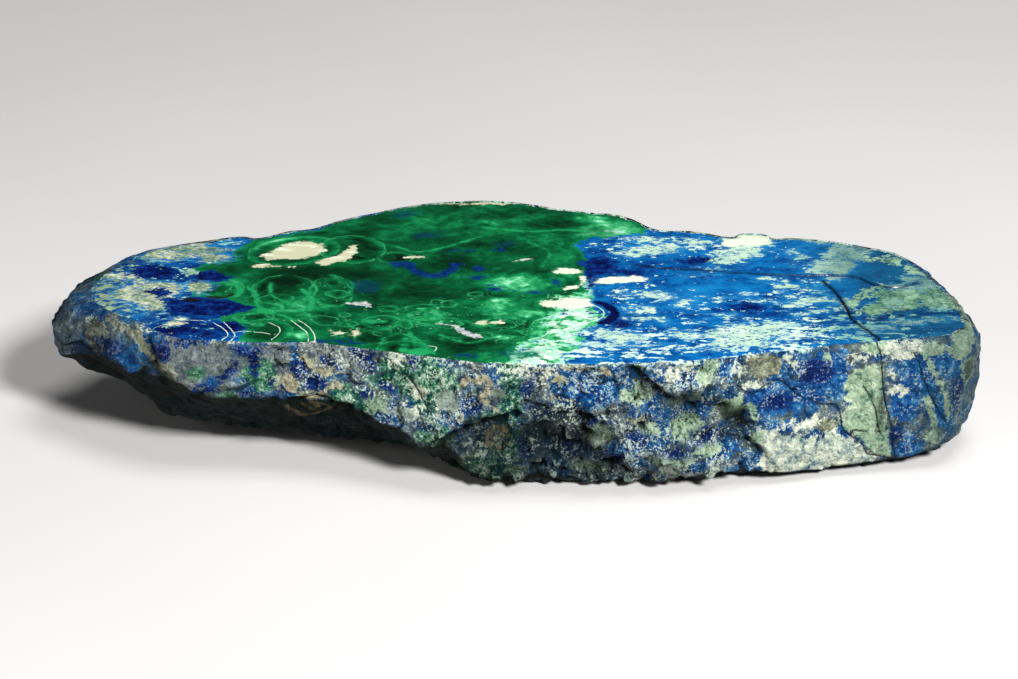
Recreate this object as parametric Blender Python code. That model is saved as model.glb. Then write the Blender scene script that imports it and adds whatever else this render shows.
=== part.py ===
"""Polished malachite and azurite slab: one broken piece of copper ore with a flat polished face.

Units are metres, +Z is up.  The origin is the middle of the stone's box in X and Y, on the
surface that the stone rests on.  +X runs along its length and -Y is its front.
"""

import math
from collections import namedtuple

import bmesh
import bpy
from mathutils import Vector, geometry, noise

# ---------------------------------------------------------------------------------------
# Driving dimensions, in millimetres
# ---------------------------------------------------------------------------------------

MM = 0.001

FACE_HEIGHT = 38.0      # the polished face above the resting surface
COLUMNS = 212           # profiles round the edge
UNDERSIDE_GRID = 4.6    # spacing of the points that shape the underside
CALM_REACH = 4          # columns each way over which the rim's notches fade lower down
CALM_START = 2.0        # depths below the face where that fading starts and is complete
CALM_FULL = 16.0

# The sides lean out from, and the underside tucks in towards, this line along the stone.
SPINE_LEFT = -74.0
SPINE_RIGHT = 90.0
SPINE_Y = -8.0

# How the side runs down from the polished edge at one place:
# a worn shoulder, the widest point (belly), the lower edge of the side (hem), and the foot,
# which is where the underside begins.  foot_round is 0 for a straight undercut and 1 for a
# rounded one.  rough scales the broken relief.
Side = namedtuple(
    "Side",
    "shoulder_run shoulder_drop belly_out belly_z hem_out hem_z foot_in foot_round rough",
)

SIDES = {
    "tip": Side(8.5, 6.0, 12.0, 28.0, 10.5, 22.5, 6.0, 0.35, 0.45),
    "tip_front": Side(4.5, 4.0, 6.5, 30.0, 6.0, 26.5, 9.0, 0.1, 0.5),
    "shelf_end": Side(1.2, 1.0, 2.0, 31.0, 1.6, 25.4, 13.0, 0.0, 0.5),
    "shelf": Side(0.8, 0.7, 0.7, 30.0, 0.4, 21.2, 15.0, 0.0, 0.5),
    "lobe_side": Side(0.8, 0.7, 1.2, 28.0, 0.8, 18.0, 17.0, 0.0, 0.8),
    "lobe": Side(0.8, 0.7, 1.6, 26.0, 0.8, 12.2, 13.0, 0.1, 0.7),
    "arch": Side(0.7, 0.7, 1.0, 29.0, -1.0, 4.6, 8.0, 0.5, 0.9),
    "recess": Side(0.6, 0.6, 0.8, 27.0, -2.4, 6.0, 11.0, 0.9, 1.1),
    "feet": Side(0.8, 0.7, 0.9, 31.0, -0.8, 5.0, 9.0, 0.9, 1.1),
    "bulge": Side(0.8, 0.7, 0.8, 20.0, 0.4, 3.6, 8.5, 0.8, 0.55),
    "right_front": Side(1.8, 1.4, 1.8, 25.0, 1.0, 5.0, 11.0, 0.9, 0.5),
    "right_corner": Side(4.0, 3.0, 4.4, 27.0, 3.6, 11.0, 10.0, 1.0, 0.5),
    "right_end": Side(3.2, 2.6, 7.4, 28.0, 6.4, 14.0, 9.0, 1.0, 0.6),
    "back_corner": Side(2.2, 1.8, 4.0, 25.0, 2.6, 13.0, 10.0, 1.0, 0.8),
    "back_right": Side(1.6, 1.4, 2.4, 24.0, 0.4, 11.0, 16.0, 0.9, 1.0),
    "back": Side(1.6, 1.4, 1.8, 23.0, -1.0, 10.5, 17.0, 0.8, 1.0),
    "back_left": Side(2.0, 1.6, 3.0, 25.0, -0.4, 13.0, 15.0, 0.7, 1.0),
    "tip_back": Side(5.0, 4.0, 7.5, 27.0, 5.0, 19.0, 7.0, 0.6, 0.7),
}

# The edge of the polished face, counterclockwise from the left end of the front.
RIM = (
    (-104, -22, "tip_front"), (-95, -29.5, "tip_front"), (-87, -38, "shelf_end"),
    (-77, -41, "shelf"), (-61, -42.5, "shelf"), (-49, -42.5, "shelf"), (-41, -45, "shelf"),
    (-31, -48, "lobe_side"), (-20, -51.5, "lobe"), (-13, -53.2, "lobe"), (-6, -55, "arch"),
    (6, -56, "recess"), (20, -56, "recess"), (34, -55.4, "recess"), (46, -54, "feet"),
    (58, -51.5, "feet"), (71, -48, "bulge"), (84, -44.5, "bulge"),
    (96, -41.4, "right_front"), (107, -39.4, "right_front"), (115, -36.4, "right_corner"),
    (119.8, -31, "right_corner"), (119.4, -21, "right_end"), (117.4, -10, "right_end"),
    (114, 1, "right_end"), (111.4, 8.4, "right_end"), (108.6, 14.2, "back_corner"),
    (104.6, 18.2, "back_corner"), (91, 25, "back_right"), (80, 28.2, "back_right"),
    (74.5, 27.6, "back_right"), (72, 31, "back_right"), (65.5, 31.4, "back_right"),
    (62.5, 29.4, "back_right"), (52, 33.6, "back_right"), (44, 33.6, "back_right"),
    (39.5, 36.8, "back_right"), (36, 41.6, "back"), (31, 45.4, "back"), (24, 46.8, "back"),
    (15, 50.2, "back"), (5, 54.2, "back"), (-5, 56.2, "back"), (-15, 55.6, "back"),
    (-25, 52.8, "back"), (-38, 46, "back"), (-47, 40.6, "back"), (-54, 35.2, "back_left"),
    (-59, 33.8, "back_left"), (-63, 30.4, "back_left"), (-69, 27.2, "back_left"),
    (-74, 28.8, "back_left"), (-85, 25, "back_left"), (-97, 19.6, "back_left"),
    (-102, 13.8, "tip_back"), (-106.5, 7, "tip_back"), (-109.5, 0, "tip"), (-110.5, -8, "tip"),
    (-108.5, -16, "tip"),
)

# Along the front the underside climbs forward from this line, at FRONT_CLIMB, to the foot.
FRONT_LINE = (
    (-130, 8), (-112, 0), (-97, -5.2), (-87, -5.2), (-70, -12.2), (-58, -12.2), (-47, -17.2),
    (-32, -21.2), (-25, -21.2), (-20, -26.2), (-14, -36), (-8, -42), (-1, -45.6),
    (6, -45.6), (13, -45.6), (19, -48.4), (43, -48.8), (58, -45), (78, -41), (99, -36),
    (105, -31), (110, -26), (116, -18), (130, 0),
)
FRONT_CLIMB = 0.42

# Forms on the sides that stand out or are hollowed: centre, half width along the side,
# half height, and how far the middle stands out (or, below zero, is sunk).
Form = namedtuple("Form", "x y z half_width half_height out")

FORMS = (
    Form(-19.0, -52, 19.0, 9.0, 7.5, 1.8),      # hanging lobe
    Form(-7.0, -52, 18.0, 5.5, 3.6, -4.6),      # hollow under the arch, left
    Form(2.5, -52, 17.0, 4.5, 4.5, -3.2),       # hollow under the arch, right
    Form(-1.5, -52, 17.3, 3.0, 3.0, 2.6),       # round knob inside the hollow
    Form(-4.0, -50, 8.8, 7.5, 3.4, 2.4),        # green foot below the hollow
    Form(14.0, -53, 15.0, 10.0, 7.0, -1.8),     # dark recess
    Form(24.0, -53, 19.5, 6.0, 4.0, 1.3),       # lump in the recess
    Form(34.0, -52, 24.0, 7.0, 6.0, -1.2),      # slope below the first ledge
    Form(59.5, -49, 17.2, 5.0, 2.3, -3.6),      # pit below the second ledge
    Form(50.0, -50, 10.0, 8.0, 4.2, 2.0),       # low foot
    Form(38.0, -51, 10.0, 6.0, 4.0, 1.2),       # smaller feet beside it
    Form(62.0, -48, 7.0, 5.0, 3.0, 1.0),
    Form(76.0, -45, 11.0, 11.0, 6.5, 1.9),      # pale bulge
    Form(88.0, -43, 23.0, 7.0, 8.0, -0.9),      # flat between the cracks
    Form(109.0, -36, 22.0, 8.0, 10.0, 1.4),     # right shoulder
    Form(121.0, -14, 29.5, 6.0, 3.2, 1.3),      # scallop on the right end
    Form(121.0, 3, 19.0, 9.0, 5.0, -1.6),
    Form(-60.0, -40, 29.0, 9.0, 6.0, -0.8),     # shallow flats of the left face
    Form(-84.0, -36, 31.0, 7.0, 5.0, 1.0),
    Form(-51.0, -33, 14.5, 6.0, 4.0, 2.2),      # knob hanging under the left face
    Form(-30.0, -36, 10.0, 7.0, 4.0, 1.2),
    Form(-12.0, 57, 22.0, 13.0, 7.0, 2.2),      # back: ribs and sockets of the break
    Form(12.0, 52, 16.0, 9.0, 6.0, -2.6),
    Form(30.0, 46, 26.0, 6.0, 7.0, 1.8),
    Form(48.0, 34, 18.0, 8.0, 6.0, -2.2),
    Form(67.0, 31, 29.0, 4.5, 6.0, 1.6),
    Form(86.0, 28, 17.0, 9.0, 6.0, 1.6),
    Form(-40.0, 45, 18.0, 9.0, 6.0, -2.4),
    Form(-60.0, 35, 27.0, 6.0, 6.0, 1.6),
    Form(-78.0, 28, 18.0, 9.0, 6.0, 1.8),
    Form(-96.0, 19, 24.0, 6.0, 6.0, -1.4),
)
FORM_REACH = 2.0            # a form ends this many of its half widths away,
FORM_FADE = 1.4             # and fades this fast with the square of that distance

# Ledges: the side steps back below such a line of (x, z), by a depth that fades out lower down.
Ledge = namedtuple("Ledge", "line depth fade")

FRONT_LEDGES = (
    Ledge(((30.5, 37.0), (36, 34.5), (40, 30.3), (45, 27.6), (52, 27.2), (57.5, 26.6)), 2.6, 8.0),
    Ledge(((44, 27.4), (49, 24.4), (53, 22.6), (57, 19.6), (64, 19.0)), 1.8, 6.0),
    Ledge(((55.5, 14.8), (61, 13.4), (65, 11.0), (68, 8.2)), 1.6, 4.0),
    Ledge(((64, 28.0), (69, 30.0), (74, 27.6), (79, 23.0), (86, 22.0), (90, 16.0)), 0.9, 6.0),
)

BACK_LEDGES = (
    Ledge(((-34, 32.0), (-18, 28.0), (-2, 30.0), (14, 26.0)), 2.2, 8.0),
    Ledge(((40, 27.0), (56, 24.0), (72, 21.0)), 1.8, 7.0),
    Ledge(((-84, 26.0), (-68, 23.0), (-52, 26.0)), 1.8, 7.0),
)
LEDGE_END = 4.0             # length over which a ledge runs out at each end
LEDGE_LIP = (-0.6, 1.2)     # the step back, from just above the line to just below it
LEDGE_FULL = 2.0            # depth below the line to which the step keeps its full size

# Worn flats that the stone rests on: centre and radius.
FLATS = (
    (0, 0, 15), (84, -26, 11), (74, 6, 10), (-52, 2, 12), (-22, 26, 10), (16, -32, 10),
    (26, 22, 9), (48, -24, 9), (-30, -10, 8),
)
FLAT_EDGE = 10.0            # width of the slope round each flat

TIP_RISE_START = -58.0      # left of this the underside climbs towards the tip
TIP_RISE = 0.0070           # climb, per millimetre squared
UNDERSIDE_MEAN = 1.3

# Relief of the broken surfaces: broad waves that carry facets of two sizes.
# Each has the size of its pieces, how far they stand out or in, and a seed.
Relief = namedtuple("Relief", "size out seed")

SIDE_WAVES = Relief(30.0, 1.2, 0.0)
SIDE_CHIPS = (Relief(13.0, 1.4, 3.0), Relief(5.5, 0.5, 8.0))
UNDERSIDE_WAVES = Relief(24.0, 1.6, 5.0)
UNDERSIDE_CHIPS = Relief(10.0, 0.9, 21.0)
CHIP_TILT = 1.6             # steepness of the facets
CHIP_CURVE = 0.7            # how domed each facet is
RIM_SHARE = (0.4, 5.0)      # share of the relief left at the rim, full this far below it
FOOT_SHARE = (0.25, 6.0)    # share left at the resting surface, full this far above it

SHOULDER_STEPS = 2          # rows of points down the worn shoulder
SIDE_STEPS = 4              # and down each of the three parts of the side below it
STRAY_ALONG = 0.9           # how far the points of the broken surface stray from their grid
STRAY_UP = 0.9
STRAY_UP_RANGE = (1.0, 7.0) # distances from the rim or the foot over which that grows
STRAY_UNDER = 1.4

MALACHITE_GREEN = (0.020, 0.215, 0.115, 1.0)
AZURITE_BLUE = (0.030, 0.105, 0.300, 1.0)


# ---------------------------------------------------------------------------------------
# Small helpers
# ---------------------------------------------------------------------------------------

def mix(a, b, t):
    """The value that lies t of the way from a to b."""
    return a + (b - a) * t


def smooth(low, high, value):
    """0 below low, 1 above high, and an even slope between."""
    t = min(1.0, max(0.0, (value - low) / (high - low)))
    return t * t * (3.0 - 2.0 * t)


def line_height(line, x):
    """Height at x of an open line of (x, z) points, or None past its ends."""
    for (x0, z0), (x1, z1) in zip(line, line[1:]):
        if x0 <= x <= x1:
            return mix(z0, z1, (x - x0) / (x1 - x0))
    return None


def scatter(point):
    """A steady random vector for a place, each part from -1 to 1."""
    return 2.0 * noise.cell_vector(point * 3.7) - Vector((1.0, 1.0, 1.0))


def place_in(relief, point):
    """The point measured in the relief's own size, moved along by its seed."""
    return point / relief.size + Vector((relief.seed, relief.seed, relief.seed))


def waves(relief, point):
    """Broad smooth waves."""
    return relief.out * noise.noise(place_in(relief, point))


def chips(relief, point):
    """Broken facets that meet in ridges: the highest of the four nearest tilted caps."""
    place = place_in(relief, point)
    caps = []
    for centre in noise.voronoi(place)[1]:
        away = place - centre
        height = noise.cell(centre * 91.7) - 0.5
        slope = noise.cell_vector(centre * 57.3) - Vector((0.5, 0.5, 0.5))
        caps.append(height + CHIP_TILT * slope.dot(away) - CHIP_CURVE * away.length_squared)
    return relief.out * max(caps)


# ---------------------------------------------------------------------------------------
# Relief of the broken sides
# ---------------------------------------------------------------------------------------

def ledge_relief(ledges, point):
    """How far the side is stepped back below the ledges at this point."""
    depth = 0.0
    for ledge in ledges:
        height = line_height(ledge.line, point.x)
        if height is None:
            continue
        first = ledge.line[0][0]
        last = ledge.line[-1][0]
        ends = smooth(first, first + LEDGE_END, point.x)
        ends *= 1.0 - smooth(last - LEDGE_END, last, point.x)
        below = height - point.z
        step = smooth(*LEDGE_LIP, below)
        step *= 1.0 - smooth(LEDGE_FULL, LEDGE_FULL + ledge.fade, below)
        depth -= ledge.depth * ends * step
    return depth


def form_relief(point):
    """How far the named lumps and hollows move the side at this point."""
    out = 0.0
    for form in FORMS:
        across = math.hypot(point.x - form.x, point.y - form.y) / form.half_width
        up = (point.z - form.z) / form.half_height
        reach = across * across + up * up
        if reach < FORM_REACH ** 2:
            out += form.out * math.exp(-FORM_FADE * reach)
    return out


def side_relief(point, rough):
    """Total outward relief of the side at a point, in millimetres."""
    relief = waves(SIDE_WAVES, point)
    for chip in SIDE_CHIPS:
        relief += chips(chip, point)
    return relief * rough


# ---------------------------------------------------------------------------------------
# The side profiles
# ---------------------------------------------------------------------------------------

def from_spine(point):
    """Level vector from the nearest place on the stone's spine."""
    near = Vector((min(SPINE_RIGHT, max(SPINE_LEFT, point.x)), SPINE_Y))
    return point - near


def spline_point(before, start, end, after, t):
    """Catmull-Rom point between start and end."""
    values = []
    for a, b, c, d in zip(before[:2], start[:2], end[:2], after[:2]):
        values.append(0.5 * (
            2 * b + (c - a) * t
            + (2 * a - 5 * b + 4 * c - d) * t * t
            + (3 * b - a - 3 * c + d) * t * t * t
        ))
    return Vector(values)


def rim_columns():
    """COLUMNS evenly spaced places on the rim, each with its own side shape."""
    fine = []
    steps = 24
    count = len(RIM)
    for index in range(count):
        before = RIM[index - 1]
        start = RIM[index]
        end = RIM[(index + 1) % count]
        after = RIM[(index + 2) % count]
        for step in range(steps):
            t = step / steps
            blend = smooth(0.0, 1.0, t)
            pairs = zip(SIDES[start[2]], SIDES[end[2]])
            side = Side(*(mix(a, b, blend) for a, b in pairs))
            fine.append((spline_point(before, start, end, after, t), side))

    lengths = [0.0]
    for (a, _), (b, _) in zip(fine, fine[1:] + fine[:1]):
        lengths.append(lengths[-1] + (b - a).length)

    columns = []
    place = 0
    for index in range(COLUMNS):
        wanted = lengths[-1] * index / COLUMNS
        while lengths[place + 1] < wanted:
            place += 1
        columns.append(fine[place])
    return columns


def calm_outline(columns):
    """The rim without its notches, which the lower part of the side follows."""
    calm = []
    reach = range(-CALM_REACH, CALM_REACH + 1)
    for index in range(COLUMNS):
        near = [columns[(index + step) % COLUMNS][0] for step in reach]
        calm.append(sum(near, Vector((0.0, 0.0))) / len(near))
    return calm


def underside_height(x, y):
    """Height of the rough underside, with the worn contact flats at zero."""
    point = Vector((x, y, 0.0))
    height = UNDERSIDE_MEAN
    height += waves(UNDERSIDE_WAVES, point)
    height += chips(UNDERSIDE_CHIPS, point)
    height += TIP_RISE * max(0.0, TIP_RISE_START - x) ** 2
    for flat_x, flat_y, radius in FLATS:
        distance = math.hypot(x - flat_x, y - flat_y)
        height *= smooth(radius, radius + FLAT_EDGE, distance)
    front = line_height(FRONT_LINE, x)
    climb = 0.0 if front is None else FRONT_CLIMB * (front - y)
    return max(0.0, height, climb)


def side_curve(side, foot_z):
    """(outward, height) of each point down one side, from the polished edge to the foot."""
    curve = [(0.0, FACE_HEIGHT)]
    shoulder_z = FACE_HEIGHT - side.shoulder_drop
    for step in range(1, SHOULDER_STEPS + 1):
        angle = step / SHOULDER_STEPS * math.pi / 2
        out = side.shoulder_run * math.sin(angle)
        curve.append((out, mix(FACE_HEIGHT, shoulder_z, 1.0 - math.cos(angle))))
    for step in range(1, SIDE_STEPS + 1):
        t = step / SIDE_STEPS
        out = mix(side.shoulder_run, side.belly_out, math.sin(t * math.pi / 2))
        curve.append((out, mix(shoulder_z, side.belly_z, t)))
    for step in range(1, SIDE_STEPS + 1):
        t = step / SIDE_STEPS
        out = mix(side.belly_out, side.hem_out, t * t)
        curve.append((out, mix(side.belly_z, side.hem_z, t)))
    for step in range(1, SIDE_STEPS + 1):
        t = step / SIDE_STEPS
        turn = t * math.pi / 2
        run = mix(t, 1.0 - math.cos(turn), side.foot_round)
        drop = mix(t, math.sin(turn), side.foot_round)
        out = mix(side.hem_out, -side.foot_in, run)
        curve.append((out, mix(side.hem_z, foot_z, drop)))
    return curve


def column_points(rim_point, calm_point, side):
    """Points of one column, with the relief applied."""
    direction = from_spine(rim_point).normalized()
    at_end = not SPINE_LEFT < rim_point.x < SPINE_RIGHT
    foot = calm_point - direction * side.foot_in
    curve = side_curve(side, underside_height(foot.x, foot.y))
    along = Vector((-direction.y, direction.x))
    ledges = FRONT_LEDGES if rim_point.y < 0 else BACK_LEDGES
    last_row = len(curve) - 1
    points = []
    for row, (out, z) in enumerate(curve):
        calm = smooth(CALM_START, CALM_FULL, FACE_HEIGHT - z)
        level = rim_point.lerp(calm_point, calm) + direction * out
        if SHOULDER_STEPS < row < last_row:
            stray = scatter(Vector((level.x, level.y, z)))
            if at_end:
                crowding = from_spine(level).length / from_spine(rim_point).length
                stray *= min(1.0, crowding ** 3)
            level += along * STRAY_ALONG * stray.x
            z += STRAY_UP * stray.y * smooth(*STRAY_UP_RANGE, min(z, FACE_HEIGHT - z))
        point = Vector((level.x, level.y, z))
        rim_share, rim_reach = RIM_SHARE
        foot_share, foot_reach = FOOT_SHARE
        fade = mix(rim_share, 1.0, smooth(0.0, rim_reach, FACE_HEIGHT - z))
        fade *= mix(foot_share, 1.0, smooth(0.0, foot_reach, z))
        if at_end:
            fade *= min(1.0, from_spine(level).length / from_spine(rim_point).length)
        move = fade * side_relief(point, side.rough)
        if row > 0:
            move += form_relief(point) + ledge_relief(ledges, point)
        if row == last_row:
            z = underside_height(level.x, level.y)
        else:
            level = level + direction * move
        points.append(Vector((level.x, level.y, z)))
    return points


# ---------------------------------------------------------------------------------------
# The stone
# ---------------------------------------------------------------------------------------

def inside(point, outline):
    """Whether a level point lies inside a closed outline."""
    odd = False
    previous = outline[-1]
    for corner in outline:
        if (corner.y > point.y) != (previous.y > point.y):
            t = (point.y - corner.y) / (previous.y - corner.y)
            if point.x < mix(corner.x, previous.x, t):
                odd = not odd
        previous = corner
    return odd


def edge_distance(point, outline):
    """Distance from a level point to the nearest corner of an outline."""
    return min((corner - point).length for corner in outline)


def underside_points(outline):
    """Staggered points inside the foot outline."""
    low_x = min(corner.x for corner in outline)
    high_x = max(corner.x for corner in outline)
    low_y = min(corner.y for corner in outline)
    high_y = max(corner.y for corner in outline)
    row_step = UNDERSIDE_GRID * math.sqrt(3) / 2
    points = []
    for row in range(int((high_y - low_y) / row_step) + 1):
        shift = UNDERSIDE_GRID / 2 if row % 2 else 0.0
        for column in range(int((high_x - low_x) / UNDERSIDE_GRID) + 1):
            x = low_x + shift + column * UNDERSIDE_GRID
            y = low_y + row * row_step
            stray = scatter(Vector((x, y, 0.0)))
            point = Vector((x + STRAY_UNDER * stray.x, y + STRAY_UNDER * stray.y))
            if inside(point, outline) and edge_distance(point, outline) > 0.6 * UNDERSIDE_GRID:
                points.append(point)
    return points


def stone_material(name, color, roughness):
    """A plain Principled material."""
    material = bpy.data.materials.new(name)
    material.use_nodes = True
    shader = material.node_tree.nodes["Principled BSDF"]
    shader.inputs["Base Color"].default_value = color
    shader.inputs["Roughness"].default_value = roughness
    shader.inputs["Metallic"].default_value = 0.0
    material.diffuse_color = color
    return material


def build_stone():
    """The whole specimen as one closed solid."""
    mesh = bmesh.new()
    columns = []
    rim = rim_columns()
    for (rim_point, side), calm_point in zip(rim, calm_outline(rim)):
        points = column_points(rim_point, calm_point, side)
        columns.append([mesh.verts.new(point * MM) for point in points])
    rows = len(columns[0])

    for index in range(COLUMNS):
        here = columns[index]
        there = columns[(index + 1) % COLUMNS]
        for row in range(rows - 1):
            corners = (here[row], here[row + 1], there[row + 1], there[row])
            mesh.faces.new(corners).material_index = 1
    bmesh.ops.triangulate(mesh, faces=mesh.faces, quad_method="BEAUTY")

    mesh.faces.new([column[0] for column in columns])

    foot_ring = [column[-1] for column in columns]
    outline = [Vector((vert.co.x / MM, vert.co.y / MM)) for vert in foot_ring]
    inner = underside_points(outline)
    flat = outline + inner
    ring_edges = [(index, (index + 1) % COLUMNS) for index in range(COLUMNS)]
    cut = geometry.delaunay_2d_cdt(flat, ring_edges, [], 1, 0.001)
    verts = list(foot_ring)
    for point in inner:
        z = underside_height(point.x, point.y)
        verts.append(mesh.verts.new(Vector((point.x, point.y, z)) * MM))
    for a, b, c in cut[2]:
        face = mesh.faces.new((verts[c], verts[b], verts[a]))
        face.material_index = 1

    low = Vector((min(vert.co[axis] for vert in mesh.verts) for axis in range(3)))
    high = Vector((max(vert.co[axis] for vert in mesh.verts) for axis in range(3)))
    centre = (low + high) / 2
    bmesh.ops.translate(mesh, verts=mesh.verts, vec=(-centre.x, -centre.y, -low.z))
    bmesh.ops.recalc_face_normals(mesh, faces=mesh.faces)

    data = bpy.data.meshes.new("stone")
    mesh.to_mesh(data)
    mesh.free()
    stone = bpy.data.objects.new("stone", data)
    bpy.context.collection.objects.link(stone)
    data.materials.append(stone_material("polished_malachite", MALACHITE_GREEN, 0.12))
    data.materials.append(stone_material("rough_azurite", AZURITE_BLUE, 0.75))
    return stone


def main():
    for old in list(bpy.data.objects):
        bpy.data.objects.remove(old, do_unlink=True)
    build_stone()


main()
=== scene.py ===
"""The looks of a polished malachite and azurite slab.

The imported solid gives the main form.  This script lays a finer skin over it: a polished
top face with its markings and open cracks, and a rough, mottled rind on the sides and the
underside.  Lengths are in millimetres and turned into metres at the end.
"""

import math
import random

import bmesh
import bpy
import numpy as np
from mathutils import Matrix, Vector, geometry, kdtree, noise

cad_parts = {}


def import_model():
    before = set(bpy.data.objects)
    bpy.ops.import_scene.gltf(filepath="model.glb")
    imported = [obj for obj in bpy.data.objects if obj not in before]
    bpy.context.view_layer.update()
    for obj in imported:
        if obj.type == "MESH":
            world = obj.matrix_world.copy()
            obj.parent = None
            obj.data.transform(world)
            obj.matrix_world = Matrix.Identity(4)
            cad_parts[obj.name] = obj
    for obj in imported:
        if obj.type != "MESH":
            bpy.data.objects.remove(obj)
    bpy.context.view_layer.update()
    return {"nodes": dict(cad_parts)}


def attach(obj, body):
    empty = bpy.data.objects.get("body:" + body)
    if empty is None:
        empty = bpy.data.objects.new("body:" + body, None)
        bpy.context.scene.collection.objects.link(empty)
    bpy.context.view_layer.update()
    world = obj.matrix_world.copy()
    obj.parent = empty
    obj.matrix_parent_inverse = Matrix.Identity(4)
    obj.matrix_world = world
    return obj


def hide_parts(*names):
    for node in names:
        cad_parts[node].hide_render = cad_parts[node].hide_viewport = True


# ---- driving dimensions, mm ----
MM = 0.001
DATUM = (2.07, 1.06, -2.0)     # added to a place on the stone to reach the drawing's own axes
TOP_PITCH = 0.92               # spacing of the points on the polished face
RIM_CLEAR = 0.5                # no grid point lies closer to the rim
CRACK_HALF = 0.38              # half width of an open crack on the polished face
CRACK_DEPTH = 0.55
RIM_WEAR = 0.28                # how far the polished edge is rounded down
RIM_RAGGED = 0.75              # how far small chips move the edge sideways
RIM_WIDTH = 1.7                # how wide the rounded edge is
RIM_FADE = 2.4                 # the rind's relief comes in over this height below the polished face
FLOOR_FADE = 1.6               # and over this height above the floor
RIND_BELOW = 0.02              # the rind stays this far below the polished plane
CRACK_CLEAR = 0.42             # no grid point lies closer to a crack
FRONT_CRACK_DEPTH = 0.8
TOP_TOLERANCE = 0.01           # a point this close to the top counts as on it
FLOOR_TOLERANCE = 0.005
SHARP_ANGLE = math.radians(52)
SKIN_ROUNDS = 2                # each round cuts a triangle in four
FRONT_REACH = -10.0            # markings of the front are drawn where y is below this
FAR = -30.0                    # a marking's field where nothing is near
SOFT_RISE = 1.7                # how fast a soft oval comes in from its outline
SCATTER_SEED = 11


# ---- outlines of the markings, drawn on the face (x, y) or on the front (x, z) ----
def ovals(*places):
    """Ovals, each by its centre, half width, half height and, if it leans, its tilt in degrees."""
    return [("oval", *place) for place in places]


def area(*points):
    """A closed outline."""
    return ("area", points)


def streak(width, *points):
    """A band of one width along a line."""
    return ("streak", width, points)


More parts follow.
